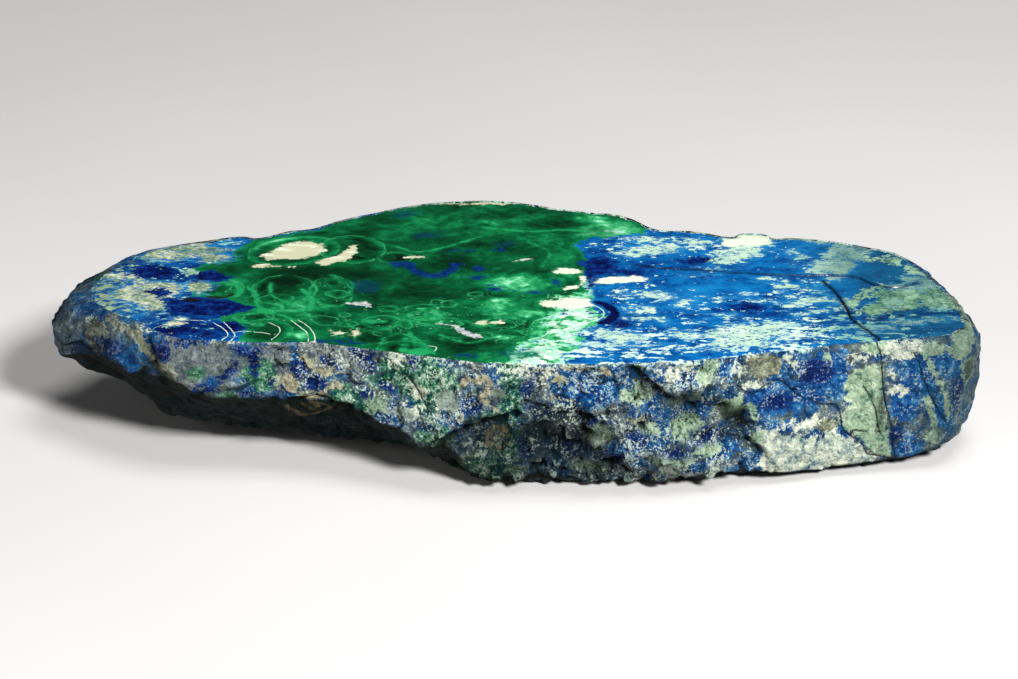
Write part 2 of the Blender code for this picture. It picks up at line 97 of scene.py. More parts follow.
# ---- markings of the polished face ----
FACE = {
    "green": [
        area((-48.5, 40), (-20, 64), (20, 60), (42, 44), (41, 37.7), (38.5, 31), (24.8, 29), (20, 23),
            (22.4, 15), (22.4, 8.7), (21.6, -2.6), (20, -12), (16, -14), (11, -28), (9.5, -38),
            (3, -44.5), (1.5, -60), (-66, -60), (-68, -40.5), (-69, -34.8), (-70, -30.8),
            (-77.6, -27.6), (-72, -25), (-66.3, -20.6), (-71, -15.5), (-83, -12), (-84.8, -9),
            (-84.8, -4), (-74.4, -1.8), (-80, 2.3), (-84, 5.5), (-83, 8.7), (-74.4, 13.5), (-76, 18.4),
            (-72.7, 20.8), (-69.5, 29.7), (-48.5, 36))],
    "mint": [
        area((13, -13), (20, -12), (23, -22), (25.5, -28), (20, -35), (17, -46), (15, -60), (2, -60),
            (3, -50), (10.5, -38), (10, -28), (15, -22))],
    "navy": ovals(
        (-95, 4, 6.5, 5), (-93, -10, 3.6, 2.6), (-85, -35, 7, 3.5, -8), (-72, -33, 4, 4),
        (25.5, 8, 4.6, 6), (33.5, 3.4, 4.2, 2), (31, -31, 3, 2), (-70, 33, 4, 2), (-84, 27, 4, 2),
        (64, -20, 4, 2.4), (-78, -38, 3, 2), (52, 12, 5, 2.4)) + [
        area((-90, -14), (-80, -14), (-70, -17), (-66, -20.4), (-72, -24), (-80, -27), (-88, -24)),
        area((-84, 5), (-76, 3.4), (-73, 0.5), (-76, -2), (-84, -2.5)),
        streak(1.6, (21.5, 8), (22.8, 2), (22.2, -6)),
        streak(1.4, (95, -29), (104, -25.5), (119, -23.4))],
    "ring": ovals(
        (-27.5, 9.4, 3.6, 2.6), (-7.4, 0.4, 2.4, 1.8), (-6.8, 6, 2.2, 2.2), (-1.8, 19.7, 2.6, 1.2),
        (8, -10.6, 2.6, 1.2), (-3.4, -7.4, 2.4, 1), (13.6, -4, 1.4, 2.6), (-12, 19, 3, 1.4),
        (-38, -18.8, 2, 1), (-45, -41.6, 3, 0.8, 8), (-40, -43.4, 3.4, 0.9, -8), (-8, -51, 2.6, 0.9),
        (-56, -43, 3, 0.7)) + [
        streak(3.6, (-29, 9.5), (-26, 8.4), (-23.4, 4), (-20, 1.6), (-16, 3), (-13.4, 9)),
        streak(1.2, (-4, -5.5), (2, -8), (9, -9.8))],
    "smudge": ovals(
        (2, -50, 6, 3), (-37, -6, 3.0, 4.0), (1, 24, 3.4, 1.6), (-26, 46, 4, 2.4),
        (-22, 30, 3, 1.6)),
    # dark brown sinks in the malachite at the left
    "brown": ovals((-83.4, -15.0, 2.2, 1.3)) + [
        streak(1.5, (-78.8, -13.2), (-75, -13.4), (-72.4, -11.2))],
    # a dark crescent at the edge of the pale zone
    "crescent": [streak(2.5, (24.4, -16.6), (27.0, -19.2), (28.7, -23), (28.2, -27), (25.4, -30.2))],
    "cream": ovals(
        (-56.6, 19.2, 7.6, 5.8, 32), (-61, 15.4, 6, 2.6, 10), (-65, 8, 4, 1.0),
        (-42.6, -37, 2.8, 0.8, -20), (-39, -36.4, 1.2, 1.5), (-86.5, -31.4, 2.6, 1.0, 28),
        (-85.2, -28, 1.0, 0.7), (-50.6, -43, 0.9, 0.7, 20), (17, 4.4, 3.4, 2), (17.5, -17.5, 5.4, 3.6),
        (11.6, -17.6, 2.4, 2.6), (-3, -30, 3.4, 1.1, 8), (-26, 14.2, 3.6, 1.1), (-8, 54, 8, 1.0),
        (31.5, -1.4, 6.4, 2.4, 4), (27, -2.4, 3, 1.8), (67.8, 27.6, 6.4, 4.6), (62.6, 23.4, 3, 2)) + [
        streak(3.8, (-49.5, 10.6), (-45, 13.6), (-42.6, 17.5)), streak(1.8, (-43, 17), (-41.6, 22.6)),
        streak(1.6, (20.6, 1), (20.6, -4), (16, -8))],
    "pale": ovals(
        (-80, 14, 5.4, 3), (-82, -6, 3.4, 5), (-82, 19, 6, 3.4), (-62, 33.5, 3.6, 2.2),
        (40, 19.5, 7, 3.2, 6), (34, 17, 3.4, 1.8), (45, 22, 4, 2.4), (38, 27, 6, 1.8), (52, 25, 6, 2.4),
        (67.6, 27, 7.4, 5.4), (64, 17.4, 8, 4.6, 30), (58.5, 11.6, 4.6, 2.6), (79.6, 18.4, 2.0, 1.6),
        (81.6, 13.4, 2.4, 1.5), (78.4, 9.6, 1.4, 1.0), (112, -2.6, 5, 3.6, -30), (108, -6.4, 4, 2, -10),
        (46.5, -38, 3.6, 2.4), (30.5, -39.4, 5.4, 3.2, -6), (24.5, -36, 3, 1.6), (73, -5.6, 1.4, 1.6),
        (70, -1, 1.6, 1), (76, -12, 2, 0.9), (58, 6.2, 3, 1.2), (64, -11, 1.8, 0.9),
        (67, -16, 2.2, 0.8), (57, -14, 1.6, 0.7), (52, 1, 2.2, 0.9), (38, -11.6, 5, 2),
        (43.6, -13.8, 4, 1.4, 20), (47, -17, 2, 3), (36, -22, 4, 2.4), (58, -26, 2.4, 1),
        (29, -44, 5, 1.2), (96, -34.5, 4.4, 2.4, 12), (104, -30, 4.4, 1.6, 6),
        (113, -28, 4, 2, 10)) + [
        area((-99, 14), (-92, 11), (-85, 14), (-80, 12), (-79, 16), (-84, 21), (-80, 26), (-90, 27),
            (-97, 21)),
        area((-105, -9), (-99, -3), (-91, -2.4), (-86, -5.5), (-87, -11), (-89, -16), (-90, -22),
            (-95, -24), (-98, -17), (-104, -14)),
        streak(3.4, (-112, 1), (-104, 1.5), (-99, 0)), streak(2.4, (-85, -27.5), (-88, -31.5)),
        area((80.6, 3.4), (91, 2.2), (102.5, 22.5), (98, 27), (90.4, 25)),
        area((84.6, 1.3), (91.4, 1.3), (87.2, -3.6)), streak(3, (75, 29.6), (82, 27.5), (88, 24.6)),
        area((53, -35), (58, -31.5), (64, -30.2), (74, -29), (76, -31), (72, -33.4), (74, -37),
            (66, -41), (70, -44), (58, -47), (50, -46), (54, -41), (50, -38)),
        streak(1.6, (75, -3), (79, -8), (84, -9.6)), streak(2.2, (74, -19), (81, -16), (90, -14.4)),
        streak(1.2, (76, -24.6), (84, -22.5), (90, -20.4)), streak(1.8, (32, -27.6), (41, -27))],
    "olive": ovals((105, 12, 2.4, 2.6), (98, 13, 2.6, 1.2), (113, 6, 3, 4, 30), (-84, 4, 2, 2)) + [
        area((97, -7.5), (108, -7), (117, -4), (121, -14), (121, -22.6), (108, -22.6), (100, -26),
            (95, -27), (92.6, -21), (97, -16)),
        streak(3.4, (90.4, -19.4), (94.4, -12), (100, -7))],
    "azure": ovals((96, 4, 12, 8), (80, 21, 7, 4), (88, -8, 6, 4), (-99, -24, 5, 4), (60, -8, 9, 5)) + [
        streak(6.5, (42, -23), (48, -15), (57, -5))],
    "grey": ovals((5.4, 12.6, 2.4, 0.7, 14)) + [
        area((-42.6, -17.4), (-38, -16), (-35.2, -17.4), (-35.6, -20.2), (-39, -18.8)),
        streak(1.1, (-17.5, -30.8), (-13.5, -32), (-11.6, -34)),
        streak(2.2, (-12, -34), (-10, -37), (-7, -39.2))],
    "dark": ovals(
        (-84, -14.6, 3, 1.3), (-55, 3, 7, 5), (-59.5, -7, 5.4, 6), (-42, 2, 8, 4), (-14, 12, 5, 5),
        (-30, -40, 6, 3), (20, 33, 8, 3), (-5, 44, 9, 3), (-83, -33.4, 5.5, 2), (-44, -27, 5, 3)) + [
        streak(1.7, (-78.4, -12.4), (-75, -13.4), (-71.8, -11))],
    # broad light green bands between the growth cells
    "stroke": ovals(
        (-63.2, -22.6, 3.2, 1.5, -20), (-35, -29.4, 1.8, 1.3), (-26, -47.4, 1.4, 1.2),
        (-25.8, -40.4, 0.9, 0.9), (-22, -48.6, 3.0, 1.8)) + [
        streak(1.0, (-69, -6.4), (-66.7, -10.2), (-66, -14), (-65.5, -19), (-63, -21.5), (-59.8, -24.6),
            (-57, -26.5), (-54.9, -29.6)),
        streak(0.7, (-65.5, -19.5), (-62, -22.3), (-58.4, -23), (-54.9, -22.6), (-51.7, -21.5),
            (-47, -20)),
        streak(1.5, (-51.7, -21.5), (-51.2, -16.4), (-52.4, -11.8), (-54.2, -8)),
        streak(0.9, (-78.2, -28.8), (-73.9, -27.3), (-69, -25.3), (-63.7, -23)),
        streak(1.6, (-76, -3), (-72.4, -5), (-70.6, -8.6), (-71.6, -12.4)),
        streak(0.8, (-63, -3.4), (-62, -12), (-57, -17.6)),
        streak(0.6, (-25.4, -35), (-23, -40), (-20.4, -45), (-18, -50)),
        streak(0.6, (-31.9, -40.9), (-27.5, -37), (-24, -39.9), (-23.2, -44.6)),
        streak(0.5, (-42, -28), (-39.6, -33.4), (-35, -35), (-29.4, -33.4), (-27.8, -29)),
        streak(0.5, (-20, -27), (-12, -28), (-6, -33.6)),
        streak(0.7, (-17, -38), (-10, -43), (-4, -40)), streak(0.6, (-47, 2), (-41, -4), (-42, -12)),
        streak(0.8, (-30, 22), (-24, 18), (-16, 22), (-6, 30)), streak(0.7, (6, 26), (12, 18), (10, 8)),
        streak(0.9, (-6, 36), (6, 33), (18, 34), (30, 31))]}

# soft ovals of the polished face: x, y, half width, half height, strength and, if it leans, its tilt
SOFT = {
    "bright": [
        (-60, 21, 17, 12, 0.8, 8), (4, -4, 14, 9, 1.15), (3, -20, 16, 8, 0.7), (30, 34, 14, 10, 1.1),
        (5, 30, 22, 10, 0.2), (-72, -12, 10, 9, 0.35), (-52, -24, 14, 8, 0.25), (-24, -26, 16, 9, 0.2),
        (12, -36, 8, 14, 0.8), (-62, -35, 9, 8, 0.25), (-15, 42, 20, 8, 0.34), (16, 8, 6, 20, 0.4),
        (-50, 3, 22, 8, -0.5), (-18, 10, 24, 14, -0.3), (-35, -10, 14, 10, -0.3),
        (-66, -20, 12, 4, 0.4, 10), (-60, -8, 8, 9, -0.3), (-32, -38, 14, 7, -0.3),
        (-12, -44, 12, 5, -0.3), (14, 38, 16, 4, -0.35), (-32.4, -29.4, 2.4, 1.6, 1.5),
        (-22, -21, 2.2, 0.9, 1.2), (-53, -38, 2.4, 4.4, 0.9, 10), (-8, -16, 7, 3, 0.6),
        (8, -25, 6, 4, 0.6), (-72.5, -2, 4, 3, 0.6), (-4, -31, 5, 2.4, 0.8), (-26, -44.6, 2, 1.4, 1.1),
        (0.6, -39, 4, 2, 1.0), (-2, -14.6, 3, 2, 1.0), (24, 42, 8, 4, 0.8)],
    "fleck": [
        (32, -45, 26, 14, 0.66), (66, -44, 24, 14, 0.62, 6), (86, -32, 20, 11, 0.5, 10),
        (56, -20, 38, 13, 0.34), (40, 20, 26, 14, 0.42), (64, 20, 18, 12, 0.34), (36, -10, 16, 8, 0.44),
        (80, -8, 14, 14, 0.42), (104, -20, 20, 12, 0.4), (98, -37, 16, 9, 0.46),
        (-100, -8, 26, 36, 0.62), (-86, 26, 24, 9, 0.5), (-80, -34, 16, 9, 0.34),
        (92, 18, 20, 10, 0.16), (10, -46, 16, 12, 0.5), (-36, -48, 30, 5, 0.3), (112, 0, 8, 14, 0.36),
        (50, -34, 50, 7, 0.3, 4)],
    "deep": [
        (-82, -22, 22, 16, 0.7), (-80, 2, 16, 14, 0.45), (-98, 2, 22, 14, 0.3), (-84, -36, 20, 8, 0.6),
        (25, 6, 9, 14, 0.4), (50, 10, 22, 6, 0.3), (66, -20, 20, 10, 0.22), (30, -32, 14, 8, 0.3),
        (90, -30, 22, 8, 0.25), (-84, 30, 20, 8, 0.4)],
    "lace": [
        (-24, -26, 26, 14, 1.0), (-60, -24, 20, 16, 0.45), (-70, -10, 16, 12, 0.45),
        (5, -34, 14, 16, 0.9), (-4, -14, 18, 8, 0.5), (-46, -10, 14, 14, 0.6)]}

# growth cells of the malachite, rings of pale outline: x, y, half width, half height and, if it leans,
# its tilt
CELLS = [
    (-59, -8.5, 8.8, 10.2), (-78.4, -7.4, 5.2, 4.6), (-78.4, -7.4, 8.4, 7.4), (-63, -35.4, 8, 7.4),
    (-46.4, -10, 5.6, 10, 10), (-30.6, -21, 2.8, 1.8), (-22, -21, 4.4, 2.8), (-32.2, -29.6, 5, 4.4),
    (-66, -26.4, 5, 3, 12), (-57, -25, 6, 3.4, -10), (-26, -31, 1.8, 2.8, 10), (-26.5, -46, 6.6, 4.2),
    (-77, -20.4, 4.6, 2.2, 10), (1, -38, 4.6, 3.2), (-14, -41, 3, 1.6), (-30, 14, 5, 4),
    (-42, 20, 9, 10, 25), (-58, 19, 13, 9.6, 25), (-35, -40, 4, 4.4), (10, -31, 3.4, 2, 20),
    (-1, -30, 6, 3.4, 10)]

# thin pale lines on the face
VEINS = [
    [(-61.4, -30.4), (-59.2, -32.8), (-58.5, -35.6), (-59.2, -38.6), (-60.3, -40.8)],
    [(-55.8, -29.2), (-53, -33.5), (-51.3, -37.3), (-50.8, -41.6)],
    [(-75.9, -30.8), (-73.7, -33.4), (-71.8, -37.9), (-73, -40.9)],
    [(-86, -28), (-83, -28.4), (-79, -28.8)], [(-91, -33), (-89, -31.4), (-87, -30.4)],
    [(-69.7, -36), (-68, -35.6), (-66.6, -35.8)], [(-65, -36.4), (-63, -36.4), (-61.4, -37.4)],
    [(17, -16.4), (21.6, -17.6), (24.8, -20.2), (26, -23.6), (25.2, -27), (22, -30), (18, -31.6)],
    [(-19, -45), (-17.6, -46), (-17.9, -48)], [(-44.6, -38.4), (-43, -37.4), (-41.6, -36.8)]]
VEIN_TWINS = [
    [(-53.9, -28.8), (-51.0, -33.3), (-49.3, -38.6), (-49.2, -42)],
    [(-73.4, -30.0), (-71.6, -33.9), (-70.0, -38.2), (-70.9, -41.6)]]

# open cracks: on the face, and on the front (x, z)
FACE_CRACKS = [
    [(36, 8.6), (45, 6.3), (56.3, 4.7), (64.4, 3), (80.5, 1.5), (90, 1.5), (95, 0), (99, -5),
        (104.7, -6.6), (111, -3.4)],
    [(85.4, -2.6), (87.8, -9), (90, -20), (91, -28.4), (94, -34.8), (96.6, -40.5)]]
FRONT_CRACKS = [
    [(95.6, 36.4), (97, 32.4), (97.6, 29), (98.1, 23.4), (98.8, 18.8), (100.5, 13), (101.2, 7.9),
        (102.5, 1.2)],
    [(93.2, 23.3), (96.2, 17.3), (97.1, 12.7), (98.1, 9.2)], [(88.4, 10.8), (91, 11), (94, 10.6)],
    [(60, 27.6), (62, 25.6), (64.6, 25), (67, 26.9), (69.9, 27.6), (72.3, 26.2), (75.2, 22.9),
        (79.1, 20.1), (83.5, 18.6), (86, 18.3), (87.4, 15.5), (88, 11.5), (91.3, 8.7), (93.3, 6.8),
        (94.8, 3.8), (98.1, 2.7), (101.5, 1)],
    [(106, 32), (107.3, 29.2), (109.3, 23.2), (112.2, 16.9), (115.6, 11.2)],
    [(57, 12.5), (62, 11), (65, 9), (66, 7)],
    [(-25.4, 30.4), (-22.9, 27.5), (-20.2, 22.9), (-19.9, 20.6)]]

# ledges of the front over deep crevices: depth, width and the line of the crevice, (x, z)
CREVICES = [
    (1.5, 1.4, [(31.6, 36), (33.8, 33), (38.2, 29.4), (42.7, 25.8), (50, 23), (57, 22)]),
    (2.4, 2.2, [(-16, 13.4), (-11.6, 15.4), (-6.6, 17.2), (-2.6, 18.8), (3, 20.6)]),
    (1.5, 1.5, [(5, 25), (10, 23.4), (15, 21.4), (20, 21), (27, 22.6)]),
    (1.3, 1.4, [(54, 15), (60, 13), (64, 10), (67, 7), (68, 4)]), (1.3, 1.5, [(58, 17), (64, 16)]),
    (0.9, 1.4, [(8, 17), (15, 13), (24, 11)]), (1.3, 1.6, [(36, 20), (42, 17.6), (49, 19)]),
    (1.2, 1.5, [(15, 34), (23, 34.4)]), (1.2, 1.6, [(26, 6), (36, 7.6), (44, 4)]),
    (1.0, 1.4, [(-93, 34), (-91, 29), (-95, 25)]), (1.2, 1.6, [(-56, 19), (-48, 20.6), (-40, 19)]),
    (0.9, 1.3, [(46, 27), (47.6, 23), (51, 20)])]

# ---- markings of the front, (x, z) ----
RIND = {
    "navy": ovals(
        (-89, 32, 2.6, 2.6), (-82, 35.6, 4, 1.4), (-61, 25, 0.9, 1.6), (-78, 21.6, 3, 1.4),
        (-67, 20.6, 2, 1.2), (-53, 28.6, 2.8, 2.6), (-49.4, 25, 3, 2.2), (-56, 23, 2, 1.6),
        (-45, 31, 2, 1.4), (-58, 20, 2, 1), (-30.6, 26.6, 2.4, 1.2, -30), (-28.6, 21.6, 1.2, 1),
        (-23.6, 34.4, 0.9, 1.6), (-36, 23.6, 2, 1.2), (-12, 18.4, 3, 1), (5.6, 29, 1.8, 2.6),
        (-8.6, 23.4, 2.4, 2), (-20, 17.4, 3, 1), (10, 22, 4, 2), (16, 12, 6, 4), (28, 8, 5, 2.4),
        (34, 14, 4, 2), (6, 12, 3, 4), (22, 20, 4, 1.6), (102, 8.5, 2, 3.4), (80, 29, 5, 3.4),
        (70, 21.6, 5, 2), (52, 14, 4, 2), (-104, 29, 3, 2), (44, 10, 4, 2), (118, 20, 2, 5)) + [
        area((-71.3, 34.5), (-62.9, 34.4), (-63.4, 30.4), (-64.9, 25.2), (-65.9, 27.5), (-66.9, 31.6),
            (-68.9, 32.8)),
        streak(2.4, (-73.6, 25.6), (-70.2, 29.6)),
        area((-40, 36), (-33, 36), (-34, 29), (-36.6, 30.6))],
    "azure": ovals(
        (-9, 24, 3.4, 3.8), (46, 30.4, 3, 3.6), (-76.3, 24, 1.8, 2.4), (36, 21, 5, 3.4),
        (56.6, 33, 3.6, 3), (59, 8.4, 3.2, 1.6), (109, 28, 5, 6), (86, 2, 5, 1.4), (104, 19, 4, 7),
        (114, 14, 4, 4), (-99, 27, 4, 4), (20, 28, 8, 4), (26, 33, 8, 2.4), (36, 28, 6, 4),
        (52, 23, 4, 3), (73, 14, 5, 2), (90, 5, 5, 3), (116, 30, 3, 6)) + [
        area((60, 18), (60, 26), (66, 25.6), (70, 29), (75, 27), (80, 35), (88, 35), (89.6, 26),
            (86, 20), (78, 18)),
        area((102.5, 5.1), (103.5, 9), (105.9, 9.6), (108.6, 7.4), (108.3, 4.5), (107, 1.4),
            (103.4, 1.4))],
    "mint": ovals(
        (119, 33, 4, 3.4), (120.6, 24.6, 2.6, 4.6), (-33, 21.6, 3.4, 2.4), (34, 27.6, 4.6, 3, 10),
        (46.6, 17, 4.4, 4.2), (23.6, 16.6, 4.4, 3.2), (44, 8, 6, 2.4), (37, 17, 3, 2), (75, 9, 6, 2.4),
        (110, 33, 4, 2), (66, 12, 3, 2), (52, 10, 4, 2), (22, 5, 6, 2), (-98, 22, 3, 1.6),
        (96, 34.4, 4, 1.8), (83, 31.4, 1.4, 3), (112, 8, 1.4, 2.4)) + [
        area((48.5, 33.2), (52.4, 36.6), (55.3, 36.6), (54.3, 32.6), (51.9, 29.9), (49, 30.3)),
        area((52.9, 21.8), (56.3, 24.9), (59.7, 26.2), (61.7, 24.8), (62.1, 21.3), (61.2, 19.7),
            (58.7, 18.4), (55.8, 19.8)),
        area((62.1, 21.9), (65, 22.1), (65.5, 18), (64.6, 15.9), (62.6, 19.5)),
        area((89.4, 27.8), (92.8, 29.4), (97.6, 29.4), (98.6, 18.7), (99.8, 12.8), (101, 5.3),
            (101.5, 2.4), (99.1, 2.1), (96.2, 4.2), (93.7, 7.1), (91.3, 9.9), (88.4, 10.8),
            (87.9, 13.7), (88.9, 17.6), (90.6, 19.2), (88.4, 19.9), (89.4, 22.1), (87.6, 23.4),
            (88.9, 25.6)),
        area((108.8, 19.8), (110.7, 19.5), (112.7, 12.8), (113.7, 8.6), (111.7, 10.7), (109.8, 15.1)),
        area((114.2, 18.7), (116.6, 18.2), (117.4, 14.6), (115.6, 12.1), (114.6, 14.1)),
        streak(1.5, (109, 31), (112, 25), (115, 20))],
    "green": ovals(
        (-63, 26.4, 5, 4.4), (-41, 22.6, 5.4, 3), (-22, 30, 10, 6), (-18, 15, 5, 4.4), (-4, 5, 7, 4),
        (-28, 33, 5, 3), (-5, 19.6, 5, 3), (0, 13, 5, 5), (-72, 19, 3, 2), (-80, 27, 3, 2),
        (-30, 28, 5, 3), (-36, 20, 5, 2), (-20, 24, 4, 4), (-55, 24, 3, 2), (2, 23, 2.4, 5)) + [
        streak(6, (1.6, 37), (2, 30), (1, 22))],
    "grey": ovals(
        (-59, 33, 4, 3.4), (81, 14.6, 6, 2.2), (-43, 32, 7, 4), (-50, 34, 5, 2), (-83, 21, 5, 3, -20),
        (-78, 31, 6, 6), (95, 3.6, 4, 1.6), (-58, 28, 3, 4)) + [
        area((-88, 36.6), (-72, 36.6), (-71, 30), (-73, 24), (-78, 20), (-84, 22), (-88, 28)),
        streak(1.4, (104, 26), (107, 20), (109, 13))],
    "tan": ovals(
        (-107.6, 30.4, 3.6, 3.8, 20), (-57.6, 24.4, 2.4, 2.8), (-51.4, 31, 2.4, 1.8),
        (-47, 28.2, 3, 1.2, 20), (-51, 22, 3, 1.4), (-2.2, 14.6, 2.9, 2.7), (25.6, 34, 1.2, 1.2),
        (13.4, 31.2, 1.4, 1.4, 30), (-22, 26, 2, 1.4), (18, 8, 3, 1.2), (34, 20, 3, 1.4),
        (84, 13, 3, 2)) + [
        streak(0.9, (-105, 34.6), (-101, 34.4), (-97, 33.4)),
        streak(1.6, (-47, 22), (-45, 24.6), (-42.6, 25)),
        streak(3.0, (-95.4, 33.4), (-92.4, 31), (-89.4, 27.4), (-86.6, 24)),
        streak(1.6, (-91, 30), (-86.4, 27.6)), streak(1.2, (-13.6, 18), (-11.4, 15)),
        streak(1.6, (14.6, 35.4), (21, 36)),
        area((61.7, 33.9), (63.1, 35.8), (67, 35.5), (70.9, 34.3), (71.1, 32.6), (70.4, 29.9),
            (68.4, 29.3), (67, 28.9), (65.5, 27.1), (64.6, 28.9), (62.6, 31.5))],
    "white": ovals(
        (-27, 34.6, 3.6, 1.2), (-25.8, 20.4, 3.4, 2.2), (43, 3, 7, 2.0), (-109.2, 32.6, 1.5, 1.5),
        (8, 34.6, 5, 1.6), (7.6, 31, 2, 3), (45, 34, 3, 2), (40, 30, 3, 2), (60.4, 33, 1, 3.2),
        (78, 15, 3, 1.4), (101, 22, 3, 1), (-81, 36.4, 6, 0.8)) + [
        area((67, 13.2), (70.9, 14.4), (74.8, 13.3), (79.6, 11.4), (84.5, 11.3), (88.9, 9.6),
            (92.8, 7.4), (96.2, 3.6), (96.6, 1), (81.6, 0.4), (68.9, 0.4), (66, 3), (68, 7.4),
            (66, 11.1)),
        streak(1.6, (71, 35), (75, 31), (77, 28)),
        area((98.8, 33), (100, 36), (107.6, 35.6), (106.4, 30.6), (101, 31)),
        streak(0.7, (-17.8, 24.6), (-16.8, 21.8), (-14.6, 20), (-12.4, 19.6)),
        streak(0.7, (100, 26), (102.6, 23.4), (106, 22)), streak(1.5, (-91, 24), (-87, 27)),
        streak(1.2, (61.6, 28), (68, 26.6)), streak(1.1, (88.4, 31.6), (98, 32.6))],
    # dark spots, and painted shade along the crevices and under the left tip
    "dark": ovals(
        (-5, 17.6, 5.6, 1.8), (-6.4, 13.6, 1.6, 3), (121.2, 25, 1.2, 2.8), (14, 22, 8, 3.6),
        (60.6, 15, 4.6, 1.4), (10, 16, 5, 3), (-44, 18.6, 5, 1.4), (26, 23, 4, 1.2), (47, 20, 3, 1),
        (8, 27, 1.6, 1), (-104, 22, 12, 4, -20), (98, 16, 0.8, 5), (20, 16, 5, 2)) + [
        streak(1.8, (33, 33), (40, 28), (56, 24)), streak(1.6, (57, 12.5), (62, 11), (66, 7)),
        streak(1.4, (-93, 33), (-91, 28), (-95, 24)), streak(0.7, (-111, 31), (-107, 32.8)),
        streak(0.6, (-110, 28.6), (-105.6, 31)), streak(0.6, (-108, 27.6), (-105, 29)),
        streak(1.4, (-104.4, 30), (-106, 26.6)), streak(2.4, (-92.6, 29), (-89, 24.6))],
    # painted shade: the dark lower middle of the front and a few recesses
    "shade": ovals((38, 28.5, 7, 1.6, -38), (38, 2, 10, 3), (-50, 17, 14, 2), (48, 22.4, 6, 1.4)) + [
        area((-18, 12), (-10, 16), (2, 19), (12, 20), (20, 17), (26, 11), (30, 3), (28, -4), (-14, -4))],
    "ball": ovals(
        (-14.8, 25, 2.9, 2.8), (-26, 20.5, 2.4, 1.6), (-2.0, 27.5, 2.0, 1.8), (15, 31, 1.3, 1.2)),
    "curl": ovals(
        (13.4, 31.2, 1.6, 1.2, 40), (25.6, 33.6, 1.4, 1.3), (9, 34.4, 1.3, 0.7),
        (-55.6, 24.6, 2.0, 2.8, 20)) + [
        streak(1.5, (-11.0, 29.6), (-9.4, 31.6), (-7.2, 31.0), (-5.0, 32.4), (-3.9, 30.4), (-5, 28.0),
            (-6.6, 26.8)),
        streak(1.2, (-6.3, 25.6), (-3.6, 24.2), (-2.0, 22.4)),
        streak(0.8, (-12.6, 19.2), (-11.2, 21.4), (-12.4, 23.2)), streak(0.9, (12, 26.6), (15, 25.2)),
        streak(0.8, (16, 34.6), (19, 34.0), (22, 35.0)), streak(1.2, (-52.4, 32), (-50, 30)),
        streak(1.1, (-49.6, 29), (-46.4, 28), (-44.8, 29.4)),
        streak(1.0, (-53, 20.6), (-49, 20.2), (-47.4, 22), (-45, 24.4), (-42.4, 24.6))],
    "ochre": [
        streak(1.0, (-4.6, 14.4), (-3.4, 16.6), (-0.8, 16.8), (0.8, 14.6), (0.2, 12.0), (-2.2, 10.9),
            (-4.4, 12.2), (-4.6, 14.0)),
        streak(1.0, (-57.4, 17.6), (-55, 14.4), (-53.3, 12.8), (-49.6, 13.8), (-45.7, 16.6),
            (-46.6, 18.2), (-50.6, 18.8)),
        streak(0.8, (-53, 17.6), (-50, 16.4), (-48.6, 17.6))]}

# how many marks of each kind are scattered over the back, the ends and the underside; the shade marks there
# are painted shade
SCATTER = {"navy": 46, "azure": 50, "mint": 34, "green": 16, "grey": 40, "tan": 26, "white": 30, "dark": 24,
           "shade": 14}


# ---- fields of the markings ----
def ease(value):
    """0 to 1 with soft ends."""
    value = np.clip(value, 0.0, 1.0)
    return value * value * (3.0 - 2.0 * value)


def oval_reach(u, v, x, y, across, along, tilt=0):
    """How far out a point lies from an oval's centre: 1 on its outline."""
    du = u - x
    dv = v - y
    lean = math.radians(tilt)
    a = (du * math.cos(lean) + dv * math.sin(lean)) / across
    b = (dv * math.cos(lean) - du * math.sin(lean)) / along
    return np.hypot(a, b)


def run_distance(u, v, points, closed=False):
    """Distance to a line of points, and on which side of it a place lies (1 or -1)."""
    best = np.full(len(u), 1e9)
    side = np.ones(len(u))
    ends = list(zip(points, points[1:]))
    if closed:
        ends.append((points[-1], points[0]))
    for (x0, y0), (x1, y1) in ends:
        run_x = x1 - x0
        run_y = y1 - y0
        share = np.clip(((u - x0) * run_x + (v - y0) * run_y) / (run_x ** 2 + run_y ** 2), 0.0, 1.0)
        off_u = u - x0 - share * run_x
        off_v = v - y0 - share * run_y
        away = np.hypot(off_u, off_v)
        nearer = away < best
        best[nearer] = away[nearer]
        side[nearer] = np.where(run_x * off_v - run_y * off_u >= 0.0, 1.0, -1.0)[nearer]
    return best, side


def within(u, v, points):
    """Whether each place lies inside a closed outline."""
    inside = np.zeros(len(u), bool)
    for (x0, y0), (x1, y1) in zip(points, points[1:] + points[:1]):
        if y0 != y1:
            crossed = ((y0 > v) != (y1 > v)) & (u < (x1 - x0) * (v - y0) / (y1 - y0) + x0)
            inside ^= crossed
    return inside


def curved(points, parts=5):
    """The same line drawn round through its points."""
    ends = [points[0], *points, points[-1]]
    made = []
    for before, start, end, after in zip(ends, ends[1:], ends[2:], ends[3:]):
        for step in range(parts):
            t = step / parts
            made.append(tuple(
                0.5 * (2 * s + (e - b) * t + (2 * b - 5 * s + 4 * e - a) * t * t
                       + (3 * s - b - 3 * e + a) * t ** 3)
                for b, s, e, a in zip(before, start, end, after)))
    return made + [points[-1]]


def shape_field(shape, u, v):
    """Millimetres inside a shape's outline, negative outside it."""
    kind = shape[0]
    if kind == "oval":
        return (1.0 - oval_reach(u, v, *shape[1:])) * min(shape[3], shape[4])
    if kind == "streak":
        away, _ = run_distance(u, v, curved(list(shape[2])))
        return shape[1] / 2 - away
    outline = list(shape[1])
    away, _ = run_distance(u, v, outline, closed=True)
    return np.where(within(u, v, outline), away, -away)


def field(shapes, u, v):
    """The deepest of several shapes at each place."""
    found = np.full(len(u), FAR)
    for shape in shapes:
        found = np.maximum(found, shape_field(shape, u, v))
    return found


